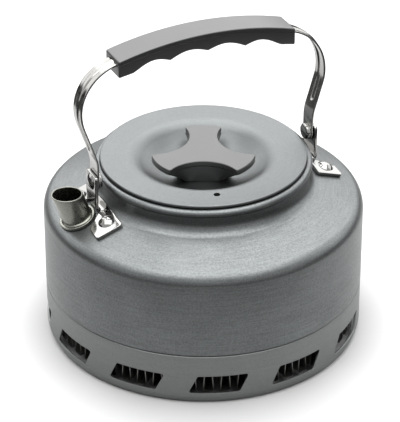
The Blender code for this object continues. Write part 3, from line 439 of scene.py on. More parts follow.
def face_out(ob):
    """Makes the faces of a closed mesh point outwards."""
    bm = bmesh.new()
    bm.from_mesh(ob.data)
    bmesh.ops.recalc_face_normals(bm, faces=bm.faces)
    bm.to_mesh(ob.data)
    bm.free()
    smooth(ob.data)


def hand_over(ob, body, slot, *nodes):
    """Says which body the piece rides on and which CAD nodes it stands for; `slot`, the finish's name, is
    not used.
    """
    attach(ob, body)
    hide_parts(*nodes)


def add(tree, kind, **settings):
    """New node with these of its own properties set."""
    node = tree.nodes.new(kind)
    for key, value in settings.items():
        setattr(node, key, value)
    return node


def group_inputs(tree, sockets):
    """Gives a node tree its geometry sockets and named inputs; returns its input and output nodes."""
    tree.interface.new_socket("Geometry", in_out="OUTPUT", socket_type="NodeSocketGeometry")
    tree.interface.new_socket("Geometry", in_out="INPUT", socket_type="NodeSocketGeometry")
    for label, kind in sockets:
        tree.interface.new_socket(label, in_out="INPUT", socket_type="NodeSocket" + kind)
    return tree.nodes.new("NodeGroupInput"), tree.nodes.new("NodeGroupOutput")


def run_tree(ob, tree, **values):
    """Runs a node tree on an object with its named inputs set, and keeps the result as a plain mesh."""
    step = ob.modifiers.new(tree.name, "NODES")
    step.node_group = tree
    for item in tree.interface.items_tree:
        key = item.name.lower().replace(" ", "_")
        if item.in_out == "INPUT" and key in values:
            step[item.identifier] = values[key]
    make_plain(ob)


def copies_tree():
    """Node tree: copies of a piece turned evenly round Z and joined where they meet."""
    tree = bpy.data.node_groups.new("copies_round_axis", "GeometryNodeTree")
    sockets = [("Copies", "Int"), ("First angle", "Float")]
    sockets += [("Join distance", "Float"), ("Finish", "Material")]
    source, result = group_inputs(tree, sockets)
    link = tree.links.new
    points = add(tree, "GeometryNodePoints")
    index = add(tree, "GeometryNodeInputIndex")
    step = add(tree, "ShaderNodeMath", operation="DIVIDE")
    step.inputs[0].default_value = 2.0 * math.pi
    angle = add(tree, "ShaderNodeMath", operation="MULTIPLY_ADD")
    euler = add(tree, "ShaderNodeCombineXYZ")
    rotation = add(tree, "FunctionNodeEulerToRotation")
    place = add(tree, "GeometryNodeInstanceOnPoints")
    real = add(tree, "GeometryNodeRealizeInstances")
    merge = add(tree, "GeometryNodeMergeByDistance")
    finish = add(tree, "GeometryNodeSetMaterial")
    link(source.outputs["Copies"], points.inputs["Count"])
    link(source.outputs["Copies"], step.inputs[1])
    link(index.outputs[0], angle.inputs[0])
    link(step.outputs[0], angle.inputs[1])
    link(source.outputs["First angle"], angle.inputs[2])
    link(angle.outputs[0], euler.inputs["Z"])
    link(euler.outputs[0], rotation.inputs[0])
    link(points.outputs[0], place.inputs["Points"])
    link(source.outputs["Geometry"], place.inputs["Instance"])
    link(rotation.outputs[0], place.inputs["Rotation"])
    link(place.outputs[0], real.inputs[0])
    link(real.outputs[0], merge.inputs["Geometry"])
    link(source.outputs["Join distance"], merge.inputs["Distance"])
    link(merge.outputs[0], finish.inputs["Geometry"])
    link(source.outputs["Finish"], finish.inputs["Material"])
    link(finish.outputs[0], result.inputs[0])
    return tree


def rivets_tree():
    """Node tree: one rivet set on each point of a mesh, along its direction, each turned its own way."""
    tree = bpy.data.node_groups.new("rivets_on_points", "GeometryNodeTree")
    source, result = group_inputs(tree, [("Rivet", "Object"), ("Seed", "Int"), ("Finish", "Material")])
    link = tree.links.new
    info = add(tree, "GeometryNodeObjectInfo")
    chance = add(tree, "FunctionNodeRandomValue", data_type="FLOAT")
    chance.inputs[3].default_value = 2.0 * math.pi
    euler = add(tree, "ShaderNodeCombineXYZ")
    spin = add(tree, "FunctionNodeEulerToRotation")
    direction = add(tree, "GeometryNodeInputNamedAttribute", data_type="FLOAT_VECTOR")
    direction.inputs["Name"].default_value = "direction"
    aim = add(tree, "FunctionNodeAlignRotationToVector", axis="Z")
    place = add(tree, "GeometryNodeInstanceOnPoints")
    real = add(tree, "GeometryNodeRealizeInstances")
    finish = add(tree, "GeometryNodeSetMaterial")
    link(source.outputs["Rivet"], info.inputs["Object"])
    link(source.outputs["Seed"], chance.inputs["Seed"])
    link(chance.outputs[1], euler.inputs["Z"])
    link(euler.outputs[0], spin.inputs[0])
    link(spin.outputs[0], aim.inputs["Rotation"])
    link(direction.outputs[0], aim.inputs["Vector"])
    link(source.outputs["Geometry"], place.inputs["Points"])
    link(info.outputs["Geometry"], place.inputs["Instance"])
    link(aim.outputs[0], place.inputs["Rotation"])
    link(place.outputs[0], real.inputs[0])
    link(real.outputs[0], finish.inputs["Geometry"])
    link(source.outputs["Finish"], finish.inputs["Material"])
    link(finish.outputs[0], result.inputs[0])
    return tree


TREES = {}


def node_tree(name):
    """One of the two node trees by name; each is made once."""
    makers = {"copies": copies_tree, "rivets": rivets_tree}
    if name not in TREES:
        TREES[name] = makers[name]()
    return TREES[name]


def shader_of(name, base, metallic, roughness):
    """New material; returns it with its node tree and its shader."""
    finish = bpy.data.materials.new(name)
    finish.use_nodes = True
    shader = finish.node_tree.nodes["Principled BSDF"]
    shader.inputs["Base Color"].default_value = (*base, 1.0)
    shader.inputs["Metallic"].default_value = metallic
    shader.inputs["Roughness"].default_value = roughness
    return finish, finish.node_tree, shader


def math_node(tree, operation, first, second=None):
    """Math node; each argument is a number or a socket to link."""
    node = add(tree, "ShaderNodeMath", operation=operation)
    for i, value in enumerate((first, second)):
        if value is None:
            continue
        if isinstance(value, (int, float)):
            node.inputs[i].default_value = value
        else:
            tree.links.new(value, node.inputs[i])
    return node.outputs[0]


def noise_node(tree, vector, scale, detail=2.0, roughness=0.6):
    """Noise on a coordinate, as a value socket."""
    node = add(tree, "ShaderNodeTexNoise")
    node.inputs["Scale"].default_value = scale
    node.inputs["Detail"].default_value = detail
    node.inputs["Roughness"].default_value = roughness
    tree.links.new(vector, node.inputs["Vector"])
    return node.outputs[0]


def blended(tree, first, second, part):
    """Mix of two values: `part` of the first and the rest of the second."""
    rest = math_node(tree, "MULTIPLY", second, 1.0 - part)
    return math_node(tree, "ADD", math_node(tree, "MULTIPLY", first, part), rest)


def ranged(tree, value, low, high, from_low=0.3, from_high=0.7):
    """Value stretched from its usual range to another, clamped."""
    node = add(tree, "ShaderNodeMapRange", clamp=True)
    tree.links.new(value, node.inputs["Value"])
    node.inputs["From Min"].default_value = from_low
    node.inputs["From Max"].default_value = from_high
    node.inputs["To Min"].default_value = low
    node.inputs["To Max"].default_value = high
    return node.outputs[0]


def tinted(tree, factor, dark, light):
    """Colour between two, by a factor."""
    node = add(tree, "ShaderNodeMix", data_type="RGBA")
    node.inputs[6].default_value = (*dark, 1.0)
    node.inputs[7].default_value = (*light, 1.0)
    tree.links.new(factor, node.inputs[0])
    return node.outputs[2]


def scaled(value, factor):
    """Colour made lighter or darker."""
    return tuple(min(1.0, c * factor) for c in value)


def bump(tree, shader, height, strength, distance):
    """Bump from a height socket."""
    node = add(tree, "ShaderNodeBump")
    node.inputs["Strength"].default_value = strength
    node.inputs["Distance"].default_value = distance
    tree.links.new(height, node.inputs["Height"])
    tree.links.new(node.outputs[0], shader.inputs["Normal"])


def round_brushing(tree, height_share, along, across):
    """Coordinate that is stretched round the axis: slow in x and y, fast in radius and height."""
    place = add(tree, "ShaderNodeTexCoord").outputs["Object"]
    split = add(tree, "ShaderNodeSeparateXYZ")
    tree.links.new(place, split.inputs[0])
    x, y, z = split.outputs
    xx = math_node(tree, "MULTIPLY", x, x)
    yy = math_node(tree, "MULTIPLY", y, y)
    radius = math_node(tree, "SQRT", math_node(tree, "ADD", xx, yy))
    run = math_node(tree, "ADD", radius, math_node(tree, "MULTIPLY", z, height_share))
    join = add(tree, "ShaderNodeCombineXYZ")
    tree.links.new(math_node(tree, "MULTIPLY", x, along), join.inputs[0])
    tree.links.new(math_node(tree, "MULTIPLY", y, along), join.inputs[1])
    tree.links.new(math_node(tree, "MULTIPLY", run, across), join.inputs[2])
    return place, join.outputs[0]


def anodised(name, base, roughness, height_share=-1.0, streaks=0.4, contrast=0.2):
    """Hard anodised aluminium: fine round brushing under a faint sandy grain."""
    finish, tree, shader = shader_of(name, base, 1.0, roughness)
    place, run = round_brushing(tree, height_share, along=70.0, across=1500.0)
    lines = noise_node(tree, run, scale=1.0, detail=3.0)
    grain = noise_node(tree, place, scale=1200.0)
    cloud = noise_node(tree, place, scale=35.0, roughness=0.5)
    mixed = blended(tree, lines, grain, streaks)
    tone = blended(tree, mixed, cloud, 0.8)
    factor = ranged(tree, tone, 0.0, 1.0, from_low=0.38, from_high=0.62)
    tint = tinted(tree, factor, scaled(base, 1.0 - contrast), scaled(base, 1.0 + contrast))
    tree.links.new(tint, shader.inputs["Base Color"])
    tree.links.new(ranged(tree, mixed, roughness + 0.04, roughness - 0.04), shader.inputs["Roughness"])
    bump(tree, shader, mixed, strength=0.35, distance=0.00006)
    return finish


def polished(name, base, roughness, unevenness=0.25):
    """Polished stainless steel: slightly uneven sheet with faint smudges."""
    finish, tree, shader = shader_of(name, base, 1.0, roughness)
    place = add(tree, "ShaderNodeTexCoord").outputs["Object"]
    smudge = noise_node(tree, place, scale=260.0, detail=3.0)
    wave = noise_node(tree, place, scale=90.0, detail=1.0, roughness=0.4)
    tree.links.new(ranged(tree, smudge, roughness * 0.6, roughness * 1.7), shader.inputs["Roughness"])
    tint = tinted(tree, ranged(tree, smudge, 0.0, 1.0), scaled(base, 0.96), scaled(base, 1.03))
    tree.links.new(tint, shader.inputs["Base Color"])
    bump(tree, shader, wave, strength=unevenness, distance=0.0004)
    return finish


def satin_plastic(name, base, roughness):
    """Moulded black plastic with a fine spark-eroded grain."""
    finish, tree, shader = shader_of(name, base, 0.0, roughness)
    shader.inputs["IOR"].default_value = 1.8
    place = add(tree, "ShaderNodeTexCoord").outputs["Object"]
    grain = noise_node(tree, place, scale=3000.0)
    cloud = noise_node(tree, place, scale=60.0, roughness=0.5)
    tree.links.new(ranged(tree, cloud, roughness - 0.02, roughness + 0.03), shader.inputs["Roughness"])
    tint = tinted(tree, ranged(tree, grain, 0.0, 1.0), scaled(base, 0.85), scaled(base, 1.2))
    tree.links.new(tint, shader.inputs["Base Color"])
    bump(tree, shader, grain, strength=0.2, distance=0.00003)
    return finish


def make_finishes():
    """All finishes by name."""
    f = bpy.context.scene.kettle_finishes
    grey, pale = tuple(f.aluminium), tuple(f.ring)
    lid = {"height_share": 0.2, "streaks": 0.35, "contrast": 0.05}
    return {
        "pot": anodised("anodised_pot", grey, f.satin),
        "lid": anodised("anodised_lid", grey, f.satin + 0.03, **lid),
        "ring": anodised("anodised_ring", pale, f.satin + 0.04, contrast=0.07),
        "fins": anodised("plain_fins", tuple(f.fins), 0.42, streaks=0.5, contrast=0.08),
        "tube": anodised("satin_spout", tuple(f.tube), 0.28, streaks=0.3, contrast=0.05),
        "steel": polished("polished_steel", tuple(f.steel), f.polish),
        "strap": polished("brushed_strap", tuple(f.strap), 0.13, unevenness=0.12),
        "plain": polished("plain_steel", tuple(f.plain), 0.28),
        "plastic": satin_plastic("black_plastic", tuple(f.plastic), f.gloss),
    }


LOOKS = {}


def look(name):
    """A finish by name; all are made at the first call."""
    if not LOOKS:
        LOOKS.update(make_finishes())
    return LOOKS[name]


def shoulder(s, radius):
    """Height of the shoulder's outside at this radius, and its outward normal as (radial, up)."""
    if radius < s.cone_in[0]:
        side = (s.fillet_r - radius) / s.pot.neck_fillet
        up = math.sqrt(max(0.0, 1.0 - side * side))
        return s.fillet_z - s.pot.neck_fillet * up, side, up
    if radius <= s.cone_out[0]:
        return s.cone_in[1] - (radius - s.cone_in[0]) * s.tan, s.sin, s.cos
    side = min(1.0, (radius - s.round_r) / s.pot.shoulder_round)
    up = math.sqrt(1.0 - side * side)
    return s.pot.wall_top + s.pot.shoulder_round * up, side, up


def on_shoulder(s, x, y, lift=0.0):
    """Point `lift` above the shoulder over plan position (x, y), and the normal there."""
    radius = math.hypot(x, y)
    z, side, up = shoulder(s, radius)
    normal = Vector((side * x / radius, side * y / radius, up))
    return Vector((x, y, z)) + normal * lift, normal


def spout_foot(s):
    """Where the spout's axis meets the shoulder, the direction it leans in, and the normal there."""
    reach = s.radius - s.pot.spout_setback
    outward = Vector((-math.cos(s.pot.spout_turn), -math.sin(s.pot.spout_turn), 0.0))
    foot, normal = on_shoulder(s, reach * outward.x, reach * outward.y)
    lean = s.pot.spout_lean
    return foot, outward * math.sin(lean) + Vector((0.0, 0.0, math.cos(lean))), normal


def rod(radius, origin, direction, low, high, steps=64):
    """Plain cylinder along `direction`, used as a cutter."""
    profile = [(0.0, high), (radius, high), (radius, low), (0.0, low)]
    return turned(profile, steps, frame_along(origin, direction))


def make_pot(s):
    """The pot in one skin: bead, neck, shoulder, wall, stepped base and inside."""
    p = s.pot
    step_z = s.ring_height + p.gap
    low_r = s.radius - p.base_inset
    slope = math.pi / 2.0 - p.shoulder_slope
    opening = math.acos(0.5 * p.sheet / p.bead_radius)
    outer = arc(s.bead, p.bead_radius, math.pi + opening, -opening, 28)
    outer += arc((s.fillet_r, s.fillet_z), p.neck_fillet, math.pi, math.pi + slope, 14)
    outer += arc((s.round_r, p.wall_top), p.shoulder_round, slope, 0.0, 16)
    seam = p.seam_round
    step_drop, cutter_half = 0.5 * MM, 4.0 * MM
    outer += arc((s.radius - seam, step_z + seam), seam, 0.0, -math.pi / 2.0, 5)
    outer.append((low_r, step_z))
    corner = p.base_corner
    outer += arc((low_r - corner, p.base_underside + corner), corner, 0.0, -math.pi / 2.0, 5)
    outer.append((0.0, p.base_underside))
    floor = p.base_underside + p.sheet
    inner_corner = 2.0 * p.base_corner
    inside_r = low_r - p.sheet
    inner = [(0.0, floor)]
    inner += arc((inside_r - inner_corner, floor + inner_corner), inner_corner, -math.pi / 2.0, 0.0, 6)
    inner.append((inside_r, step_z - step_drop))
    inner.append((s.radius - p.sheet, step_z + p.sheet + p.gap))
    inner += arc((s.round_r, p.wall_top), p.shoulder_round - p.sheet, 0.0, slope, 8)
    inner += arc((s.fillet_r, s.fillet_z), p.neck_fillet + p.sheet, math.pi + slope, math.pi, 8)
    profile = refined(outer + inner, step=2.2 * MM)
    ob = piece("pot", turned(profile, ROUND_STEPS), look("pot"))
    foot, axis, _ = spout_foot(s)
    cutter = rod(p.spout_radius + p.gap, foot, axis, -cutter_half, cutter_half)
    cut(ob, piece("hole", cutter, None))
    hand_over(ob, "kettle", "anodised_aluminium", "kettle_body")


def window_outline(s, grow, along, upright):
    """Slanted window with round corners, widened by `grow`, as (angle, height) from its middle line.

    `along` and `upright` are the numbers of points on the long and the short sides."""
    p = s.pot
    half = 0.5 * p.window_angle * s.ring_radius + grow
    lean = 0.5 * p.window_slant * s.ring_radius
    low, high = p.window_bottom - grow, p.window_top + grow
    corners = [(-half - lean, low), (half - lean, low), (half + lean, high), (-half + lean, high)]
    rounds = []
    for i, corner in enumerate(corners):
        before, after = corners[i - 1], corners[(i + 1) % 4]
        rounds.append(fillet(before, corner, after, p.window_corner + grow, 6))
    points = []
    # each side runs from the middle of one corner to the middle of the next
    for i in range(4):
        start, end = rounds[i], rounds[(i + 1) % 4]
        straight = (along, upright)[i % 2] - 6
        points += start[3:6]
        for k in range(straight + 1):
            t = k / straight
            a, b = start[6], end[0]
            points.append((a[0] + (b[0] - a[0]) * t, a[1] + (b[1] - a[1]) * t))
        points += end[1:3]
    return [(x / s.ring_radius, z) for x, z in points]


def make_ring(s):
    """Slotted ring: one sector with its window, copied round the axis."""
    p = s.pot
    along, upright = 26, 14
    sector = 2.0 * math.pi / p.window_count
    outside, inside = s.ring_radius, s.ring_radius - p.ring_sheet
    low, high = p.foot_round, s.ring_height - p.seam_round
    edge = 0.18 * MM
    bm = bmesh.new()

    def point(angle, radius, z):
        """Vertex at an angle round the axis."""
        return bm.verts.new((radius * math.cos(angle), radius * math.sin(angle), z))

    def border():
        """Sector outline with as many points as the window's, from its lower left corner."""
        w = 0.5 * sector
        sides = [(-w, low), (w, low), (w, high), (-w, high)]
        points = []
        for i in range(4):
            a, b = sides[i], sides[(i + 1) % 4]
            number = (along, upright)[i % 2]
            for k in range(number):
                points.append((a[0] + (b[0] - a[0]) * k / number, a[1] + (b[1] - a[1]) * k / number))
        return points

    border_points = border()

    def loop(radius, grow, part):
        """Row of vertices round the window, moved outwards by `part` of the way to the sector's border."""
        hole = window_outline(s, grow, along, upright)
        row = []
        for (a, z), (fa, fz) in zip(hole, border_points):
            row.append(point(a + (fa - a) * part, radius, z + (fz - z) * part))
        return row

    def strip(a, b, closed=True):
        """Faces between two rows of vertices."""
        number = len(a)
        for i in range(number if closed else number - 1):
            j = (i + 1) % number
            bm.faces.new((a[i], a[j], b[j], b[i]))

    shares = (0.08, 0.25, 0.5, 0.75, 1.0)
    outer_rows = [loop(outside, edge, t) for t in shares]
    inner_rows = [loop(inside, edge, t) for t in shares]
    throat = [
        loop(outside, edge, 0.0),
        loop(outside - 0.3 * edge, 0.3 * edge, 0.0),
        loop(outside - edge, 0.0, 0.0),
        loop(inside + edge, 0.0, 0.0),
        loop(inside, edge, 0.0),
    ]
    rows = inner_rows[::-1] + throat[::-1] + outer_rows
    for a, b in zip(rows, rows[1:]):
        strip(a, b)

    angles = [-0.5 * sector + sector * k / along for k in range(along + 1)]
    seam = p.seam_round
    top = arc((outside - seam, high), seam, 0.0, math.pi / 2.0, 5)
    top += [(inside, s.ring_height), (inside, high)]
    depth = p.foot_round
    # the foot's curve from the wall to the ground, inward and up as shares of its depth
    curve = [(0.0, 1.0), (0.02, 0.86), (0.06, 0.714), (0.12, 0.54), (0.19, 0.381), (0.255, 0.25),
             (0.333, 0.143), (0.41, 0.055), (0.5, 0.0)]
    foot = [(outside - depth * a, depth * b) for a, b in curve]
    lip = outside - 0.5 * depth - p.foot_lip
    lip_edge = 0.2 * MM
    foot += [
        (lip + lip_edge, 0.0),
        (lip, lip_edge),
        (lip, p.ring_sheet),
        (inside - 0.3 * depth, p.ring_sheet),
        (inside - 0.1 * depth, 0.55 * depth),
        (inside, depth),
    ]
    for profile in (top, foot):
        rows = [[point(a, r, z) for a in angles] for r, z in profile]
        for a, b in zip(rows, rows[1:]):
            strip(a, b, closed=False)
    ob = piece("ring", bm, None, merge=1e-6)
    settings = {"copies": p.window_count, "first_angle": p.window_start, "join_distance": 2e-6}
    run_tree(ob, node_tree("copies"), finish=look("ring"), **settings)
    face_out(ob)
    hand_over(ob, "kettle", "anodised_aluminium", "heat_exchanger_ring")


def make_fins(s):
    """Folded strip under the base: one fold with round bends, copied round the axis."""
    p = s.pot
    outer = s.ring_radius - p.ring_sheet - p.fin_clearance
    inner = outer - p.fin_depth
    half = 0.5 * p.fin_sheet
    top = p.base_underside - p.gap - half
    bottom = p.fin_bottom + half
    pitch = 2.0 * math.pi / p.fin_count
    lean = math.tan(math.radians(4.0))
    bend = 0.8 * MM
    bm = bmesh.new()

    def section(radius):
        """Closed outline of one fold at this radius, as (distance round, height)."""
        run = pitch * radius
        tilt = 0.5 * (top - bottom) * lean
        wall = 0.25 * run
        nodes = [(0.0, bottom), (wall + tilt, bottom), (wall - tilt, top),
                 (run - wall + tilt, top), (run - wall - tilt, bottom), (run, bottom)]
        path = [nodes[0]]
        for i in range(1, 5):
            path += fillet(nodes[i - 1], nodes[i], nodes[i + 1], bend, 5)
        path.append(nodes[5])
        over, under = [], []
        for i, q in enumerate(path):
            before = Vector(path[max(i - 1, 0)])
            after = Vector(path[min(i + 1, len(path) - 1)])
            d = (after - before).normalized()
            side = Vector((-d.y, d.x)) * half
            over.append((q[0] + side.x, q[1] + side.y))
            under.append((q[0] - side.x, q[1] - side.y))
        return over, under

    rows = []
    for radius in (inner, 0.5 * (inner + outer), outer):
        over, under = section(radius)
        rows.append([[bm.verts.new((radius * math.cos(x / radius), radius * math.sin(x / radius), z))
                      for x, z in line] for line in (over, under)])
    number = len(rows[0][0])
    for i in range(number - 1):
        for a, b in zip(rows, rows[1:]):
            for side in (0, 1):
                bm.faces.new((a[side][i], a[side][i + 1], b[side][i + 1], b[side][i]))
        for end in (rows[0], rows[-1]):
            bm.faces.new((end[0][i], end[0][i + 1], end[1][i + 1], end[1][i]))
    ob = piece("fins", bm, None)
    settings = {"copies": p.fin_count, "first_angle": 0.0, "join_distance": 5e-6}
    run_tree(ob, node_tree("copies"), finish=look("fins"), **settings)
    face_out(ob)
    hand_over(ob, "kettle", "anodised_aluminium", "heat_exchanger_fins")


def make_spout(s):
    """Spout tube with a level mouth, and the collar round its foot."""
    p = s.pot
    foot, axis, normal = spout_foot(s)
    side = axis.cross(normal).normalized()
    out = side.cross(axis)
    mouth = foot.z + p.spout_rise
    flare = p.spout_mouth - p.spout_radius
    steps = 96

    def ring(inset, length=None, level=None):
        """Circle of the tube's wall at a length along the axis, or cut level at a height."""
        points = []
        for i in range(steps):
            a = 2.0 * math.pi * i / steps
            along = length
            for _ in range(3):
                part = max(0.0, min(1.0, (along or 0.0) / p.spout_rise))
                radius = p.spout_radius + flare * part - inset
                q = foot + out * (radius * math.cos(a)) + side * (radius * math.sin(a))
                if level is not None:
                    along = (level - q.z) / axis.z
            points.append(q + axis * along)
        return points

    stub, level_part = 1.2 * MM, 3.0 * MM
    low = -p.sheet - stub
    wall = p.spout_sheet
    lip = 0.5 * wall
    rings = [ring(0.0, length=low), ring(0.0, length=0.0)]
    rings += [ring(0.0, length=p.spout_rise * part) for part in (0.2, 0.4)]
    rings += [ring(0.0, level=mouth - level_part)]
    for k in range(9):
        a = math.pi * k / 8
        rings.append(ring(lip - lip * math.cos(a), level=mouth - lip + lip * math.sin(a)))
    rings += [ring(wall, level=mouth - level_part), ring(wall, length=0.0), ring(wall, length=low)]
    tube = piece("spout", lofted(rings, closed=True), look("tube"))
    hand_over(tube, "kettle", "plain_steel", "spout_tube")

    play, soft = 0.05 * MM, 0.35 * MM
    inside = p.spout_radius + play
    outside = p.spout_radius + p.collar_width
    high = p.gap + p.collar_sheet
    # the small hollow between collar and tube, outward and upward in millimetres
    hollow = [(0.0, 0.5), (0.35, 0.25), (0.6, 0.0)]
    profile = [(inside, p.gap)] + [(inside + across * MM, high + above * MM) for across, above in hollow]
    profile += arc((outside - soft, high - soft), soft, math.pi / 2.0, 0.0, 5)
    profile += [(outside, p.gap)]
    skin = turned(refined(profile, step=0.6 * MM), steps, frame_along(foot, normal))
    collar = piece("spout_collar", skin, look("tube"))
    hand_over(collar, "kettle", "plain_steel", "spout_flange")


def rounded(points, radii, steps=5):
    """Round the corners of a closed plan outline, each by its own radius."""
    result = []
    number = len(points)
    for i, corner in enumerate(points):
        if radii[i] <= 0.0:
            result.append(Vector(corner))
            continue
        arc_points = fillet(points[i - 1], corner, points[(i + 1) % number], radii[i], steps)
        result += [Vector(q) for q in arc_points]
    return result


def rivet_places(s):
    """Plan positions of the four shoulder rivets, spout side first."""
    b = s.bail
    x = s.neck + b.rivet_offset
    short = (x + b.rivet_turn, b.rivet_spread - b.bracket_shift)
    long = (x - b.rivet_turn, b.rivet_spread + b.bracket_shift)
    return [(-long[0], -long[1]), (-short[0], short[1]), (short[0], -short[1]), (long[0], long[1])]


def make_bracket(s, name, sign, node):
    """Bracket pressed from one sheet: a foot that follows the shoulder and an ear bent up from it."""
    b, gap = s.bail, s.pot.gap
    sheet = b.bracket_sheet
    bend_start = s.ear_x - (gap + sheet) * s.sin - b.bend_radius * (1.0 + s.sin)
    outer_bend = b.bend_radius + sheet
    base_z = on_shoulder(s, bend_start, 0.0, gap)[0].z + outer_bend * s.cos
    ear_end = bend_start + b.bend_length + s.pivot_z + b.ear_above - base_z
    inner_x, outer_x = s.neck + b.bracket_inner, s.neck + b.bracket_reach
    grid, clear, notch_round = 1.3 * MM, 0.3 * MM, 0.35 * MM
    halves = []
    for side in (1.0, -1.0):
        shift = side * b.bracket_shift
        half = [
            (ear_end, b.ear_half, b.ear_corner),
            (bend_start, b.ear_half, notch_round),
            (outer_x, b.bracket_notch + shift, b.bracket_corner),
            (outer_x, b.bracket_half + shift, b.bracket_corner),
            (inner_x, b.bracket_half + shift, b.bracket_corner),
        ]
        halves.append([(x, side * y, r) for x, y, r in half])
    corners = halves[0] + halves[1][::-1]
    outline = rounded([(x, y) for x, y, _ in corners], [r for _, _, r in corners])

    flat = bmesh.new()
    flat.faces.new([flat.verts.new((q.x, q.y, 0.0)) for q in outline])
    bend_end = bend_start + b.bend_length
    across_x = [bend_start + b.bend_length * k / 12.0 for k in range(1, 12)]
    across_x += [bend_start, bend_end]
    for k in range(1, int((outer_x - inner_x) / grid) + 1):
        x = inner_x + k * grid
        if x < bend_start - clear or x > bend_end + clear:
            across_x.append(x)
    rows = int((b.bracket_half + b.bracket_shift) / grid)
    across_y = [(k + 0.5) * grid for k in range(-rows, rows + 1)] + [-b.ear_half, b.ear_half]
    cuts = [((x, 0.0, 0.0), (1.0, 0.0, 0.0)) for x in across_x]
    cuts += [((0.0, y, 0.0), (0.0, 1.0, 0.0)) for y in across_y]
    for place, across in cuts:
        geom = flat.verts[:] + flat.edges[:] + flat.faces[:]
        bmesh.ops.bisect_plane(flat, geom=geom, dist=1e-7, plane_co=place, plane_no=across)
    flat.verts.index_update()

    inward = {}
    for vert in flat.verts:
        rim = [e for e in vert.link_edges if e.is_boundary]
        if len(rim) != 2:
            continue
        normals = []
        for e in rim:
            middle = e.link_faces[0].calc_center_median()
            d = (e.verts[1].co - e.verts[0].co).normalized()
            n = Vector((-d.y, d.x, 0.0))
            normals.append(n if n.dot(middle - e.verts[0].co) > 0.0 else -n)
        both = (normals[0] + normals[1]).normalized()
        inward[vert.index] = both / max(0.5, both.dot(normals[0]))

    def spot(x, y, height):
        """Sheet point over one flat-pattern point, at a height in the sheet from its lower face."""
        lift = gap + height
        if x <= bend_start + 1e-7 or abs(y) > b.ear_half + notch_round + 0.01 * MM:
            return on_shoulder(s, x, y, lift)[0]
        radius = outer_bend - height
        part = min(1.0, (x - bend_start) / b.bend_length)
        start = math.pi / 2.0 + s.pot.shoulder_slope
        spin = part * start
        shift_x = radius * (math.cos(spin - start) - math.cos(start))
        shift_z = radius * (math.sin(spin - start) + math.sin(start))
        rise = max(0.0, x - bend_end)
        return on_shoulder(s, bend_start, y, lift)[0] + Vector((shift_x, 0.0, shift_z + rise))

    edge = b.bracket_edge
    layers = [(edge, 0.0), (0.3 * edge, 0.3 * edge), (0.0, edge), (0.0, sheet - edge),
              (0.3 * edge, sheet - 0.3 * edge), (edge, sheet)]
    bm = bmesh.new()
    levels = []
    for inset, height in layers:
        level = {}
        for vert in flat.verts:
            on_rim = vert.index in inward
            if not on_rim and height not in (0.0, sheet):
                continue
            move = inward[vert.index] * inset if on_rim else Vector((0.0, 0.0, 0.0))
            level[vert.index] = bm.verts.new(spot(vert.co.x + move.x, vert.co.y + move.y, height))
        levels.append(level)
    for face in flat.faces:
        index = [v.index for v in face.verts]
        bm.faces.new([levels[-1][i] for i in index])
        bm.faces.new([levels[0][i] for i in reversed(index)])
    for e in flat.edges:
        if e.is_boundary:
            i, j = (v.index for v in e.verts)
            for low, high in zip(levels, levels[1:]):
                bm.faces.new((low[i], low[j], high[j], high[i]))
    flat.free()
    if sign < 0.0:
        bmesh.ops.rotate(bm, verts=bm.verts, cent=(0.0, 0.0, 0.0), matrix=Matrix.Rotation(math.pi, 3, "Z"))
    ob = piece(name, bm, look("steel"), 40.0)
    hand_over(ob, "kettle", "polished_steel", node)


def dome(base, radius, height, upward=1.0, steps=12):
    """Rounded rivet head from its middle to its edge, as profile points."""
    ball = (radius * radius + height * height) / (2.0 * height)
    widest = math.asin(min(1.0, radius / ball))
    points = []
    for i in range(steps + 1):
        a = widest * i / steps
        points.append((ball * math.sin(a), base + upward * (height - ball * (1.0 - math.cos(a)))))
    return points


def pan_head(base, radius, height, upward=1.0):
    """Flattened rivet head with a soft shoulder, from its middle to its edge."""
    flat, edge_height = 0.68 * radius, 0.22
    points = [(0.0, base + upward * height), (0.5 * flat, base + upward * height)]
    for k in range(11):
        a = 0.5 * math.pi * k / 10
        r = flat + (radius - flat) * math.sin(a)
        drop_off = edge_height + (1.0 - edge_height) * math.cos(a) ** 0.8
        points.append((r, base + upward * height * drop_off))
    points.append((radius, base))
    return points


def rivet_set(name, profile, seats, slot, nodes, finish):
    """One piece for a group of like rivets, each set on its seat along its direction."""
    sample = piece("sample_rivet", turned(profile, 64), None)
    mesh = bpy.data.meshes.new(name)
    mesh.from_pydata([tuple(seat) for seat, _ in seats], [], [])
    attribute = mesh.attributes.new("direction", "FLOAT_VECTOR", "POINT")
    for i, (_, direction) in enumerate(seats):
        attribute.data[i].vector = direction
    ob = new_object(name, mesh)
    run_tree(ob, node_tree("rivets"), rivet=sample, seed=RIVET_SEED, finish=look(finish))
    drop(sample)
    if "direction" in ob.data.attributes:
        ob.data.attributes.remove(ob.data.attributes["direction"])
    hand_over(ob, "kettle", slot, *nodes)


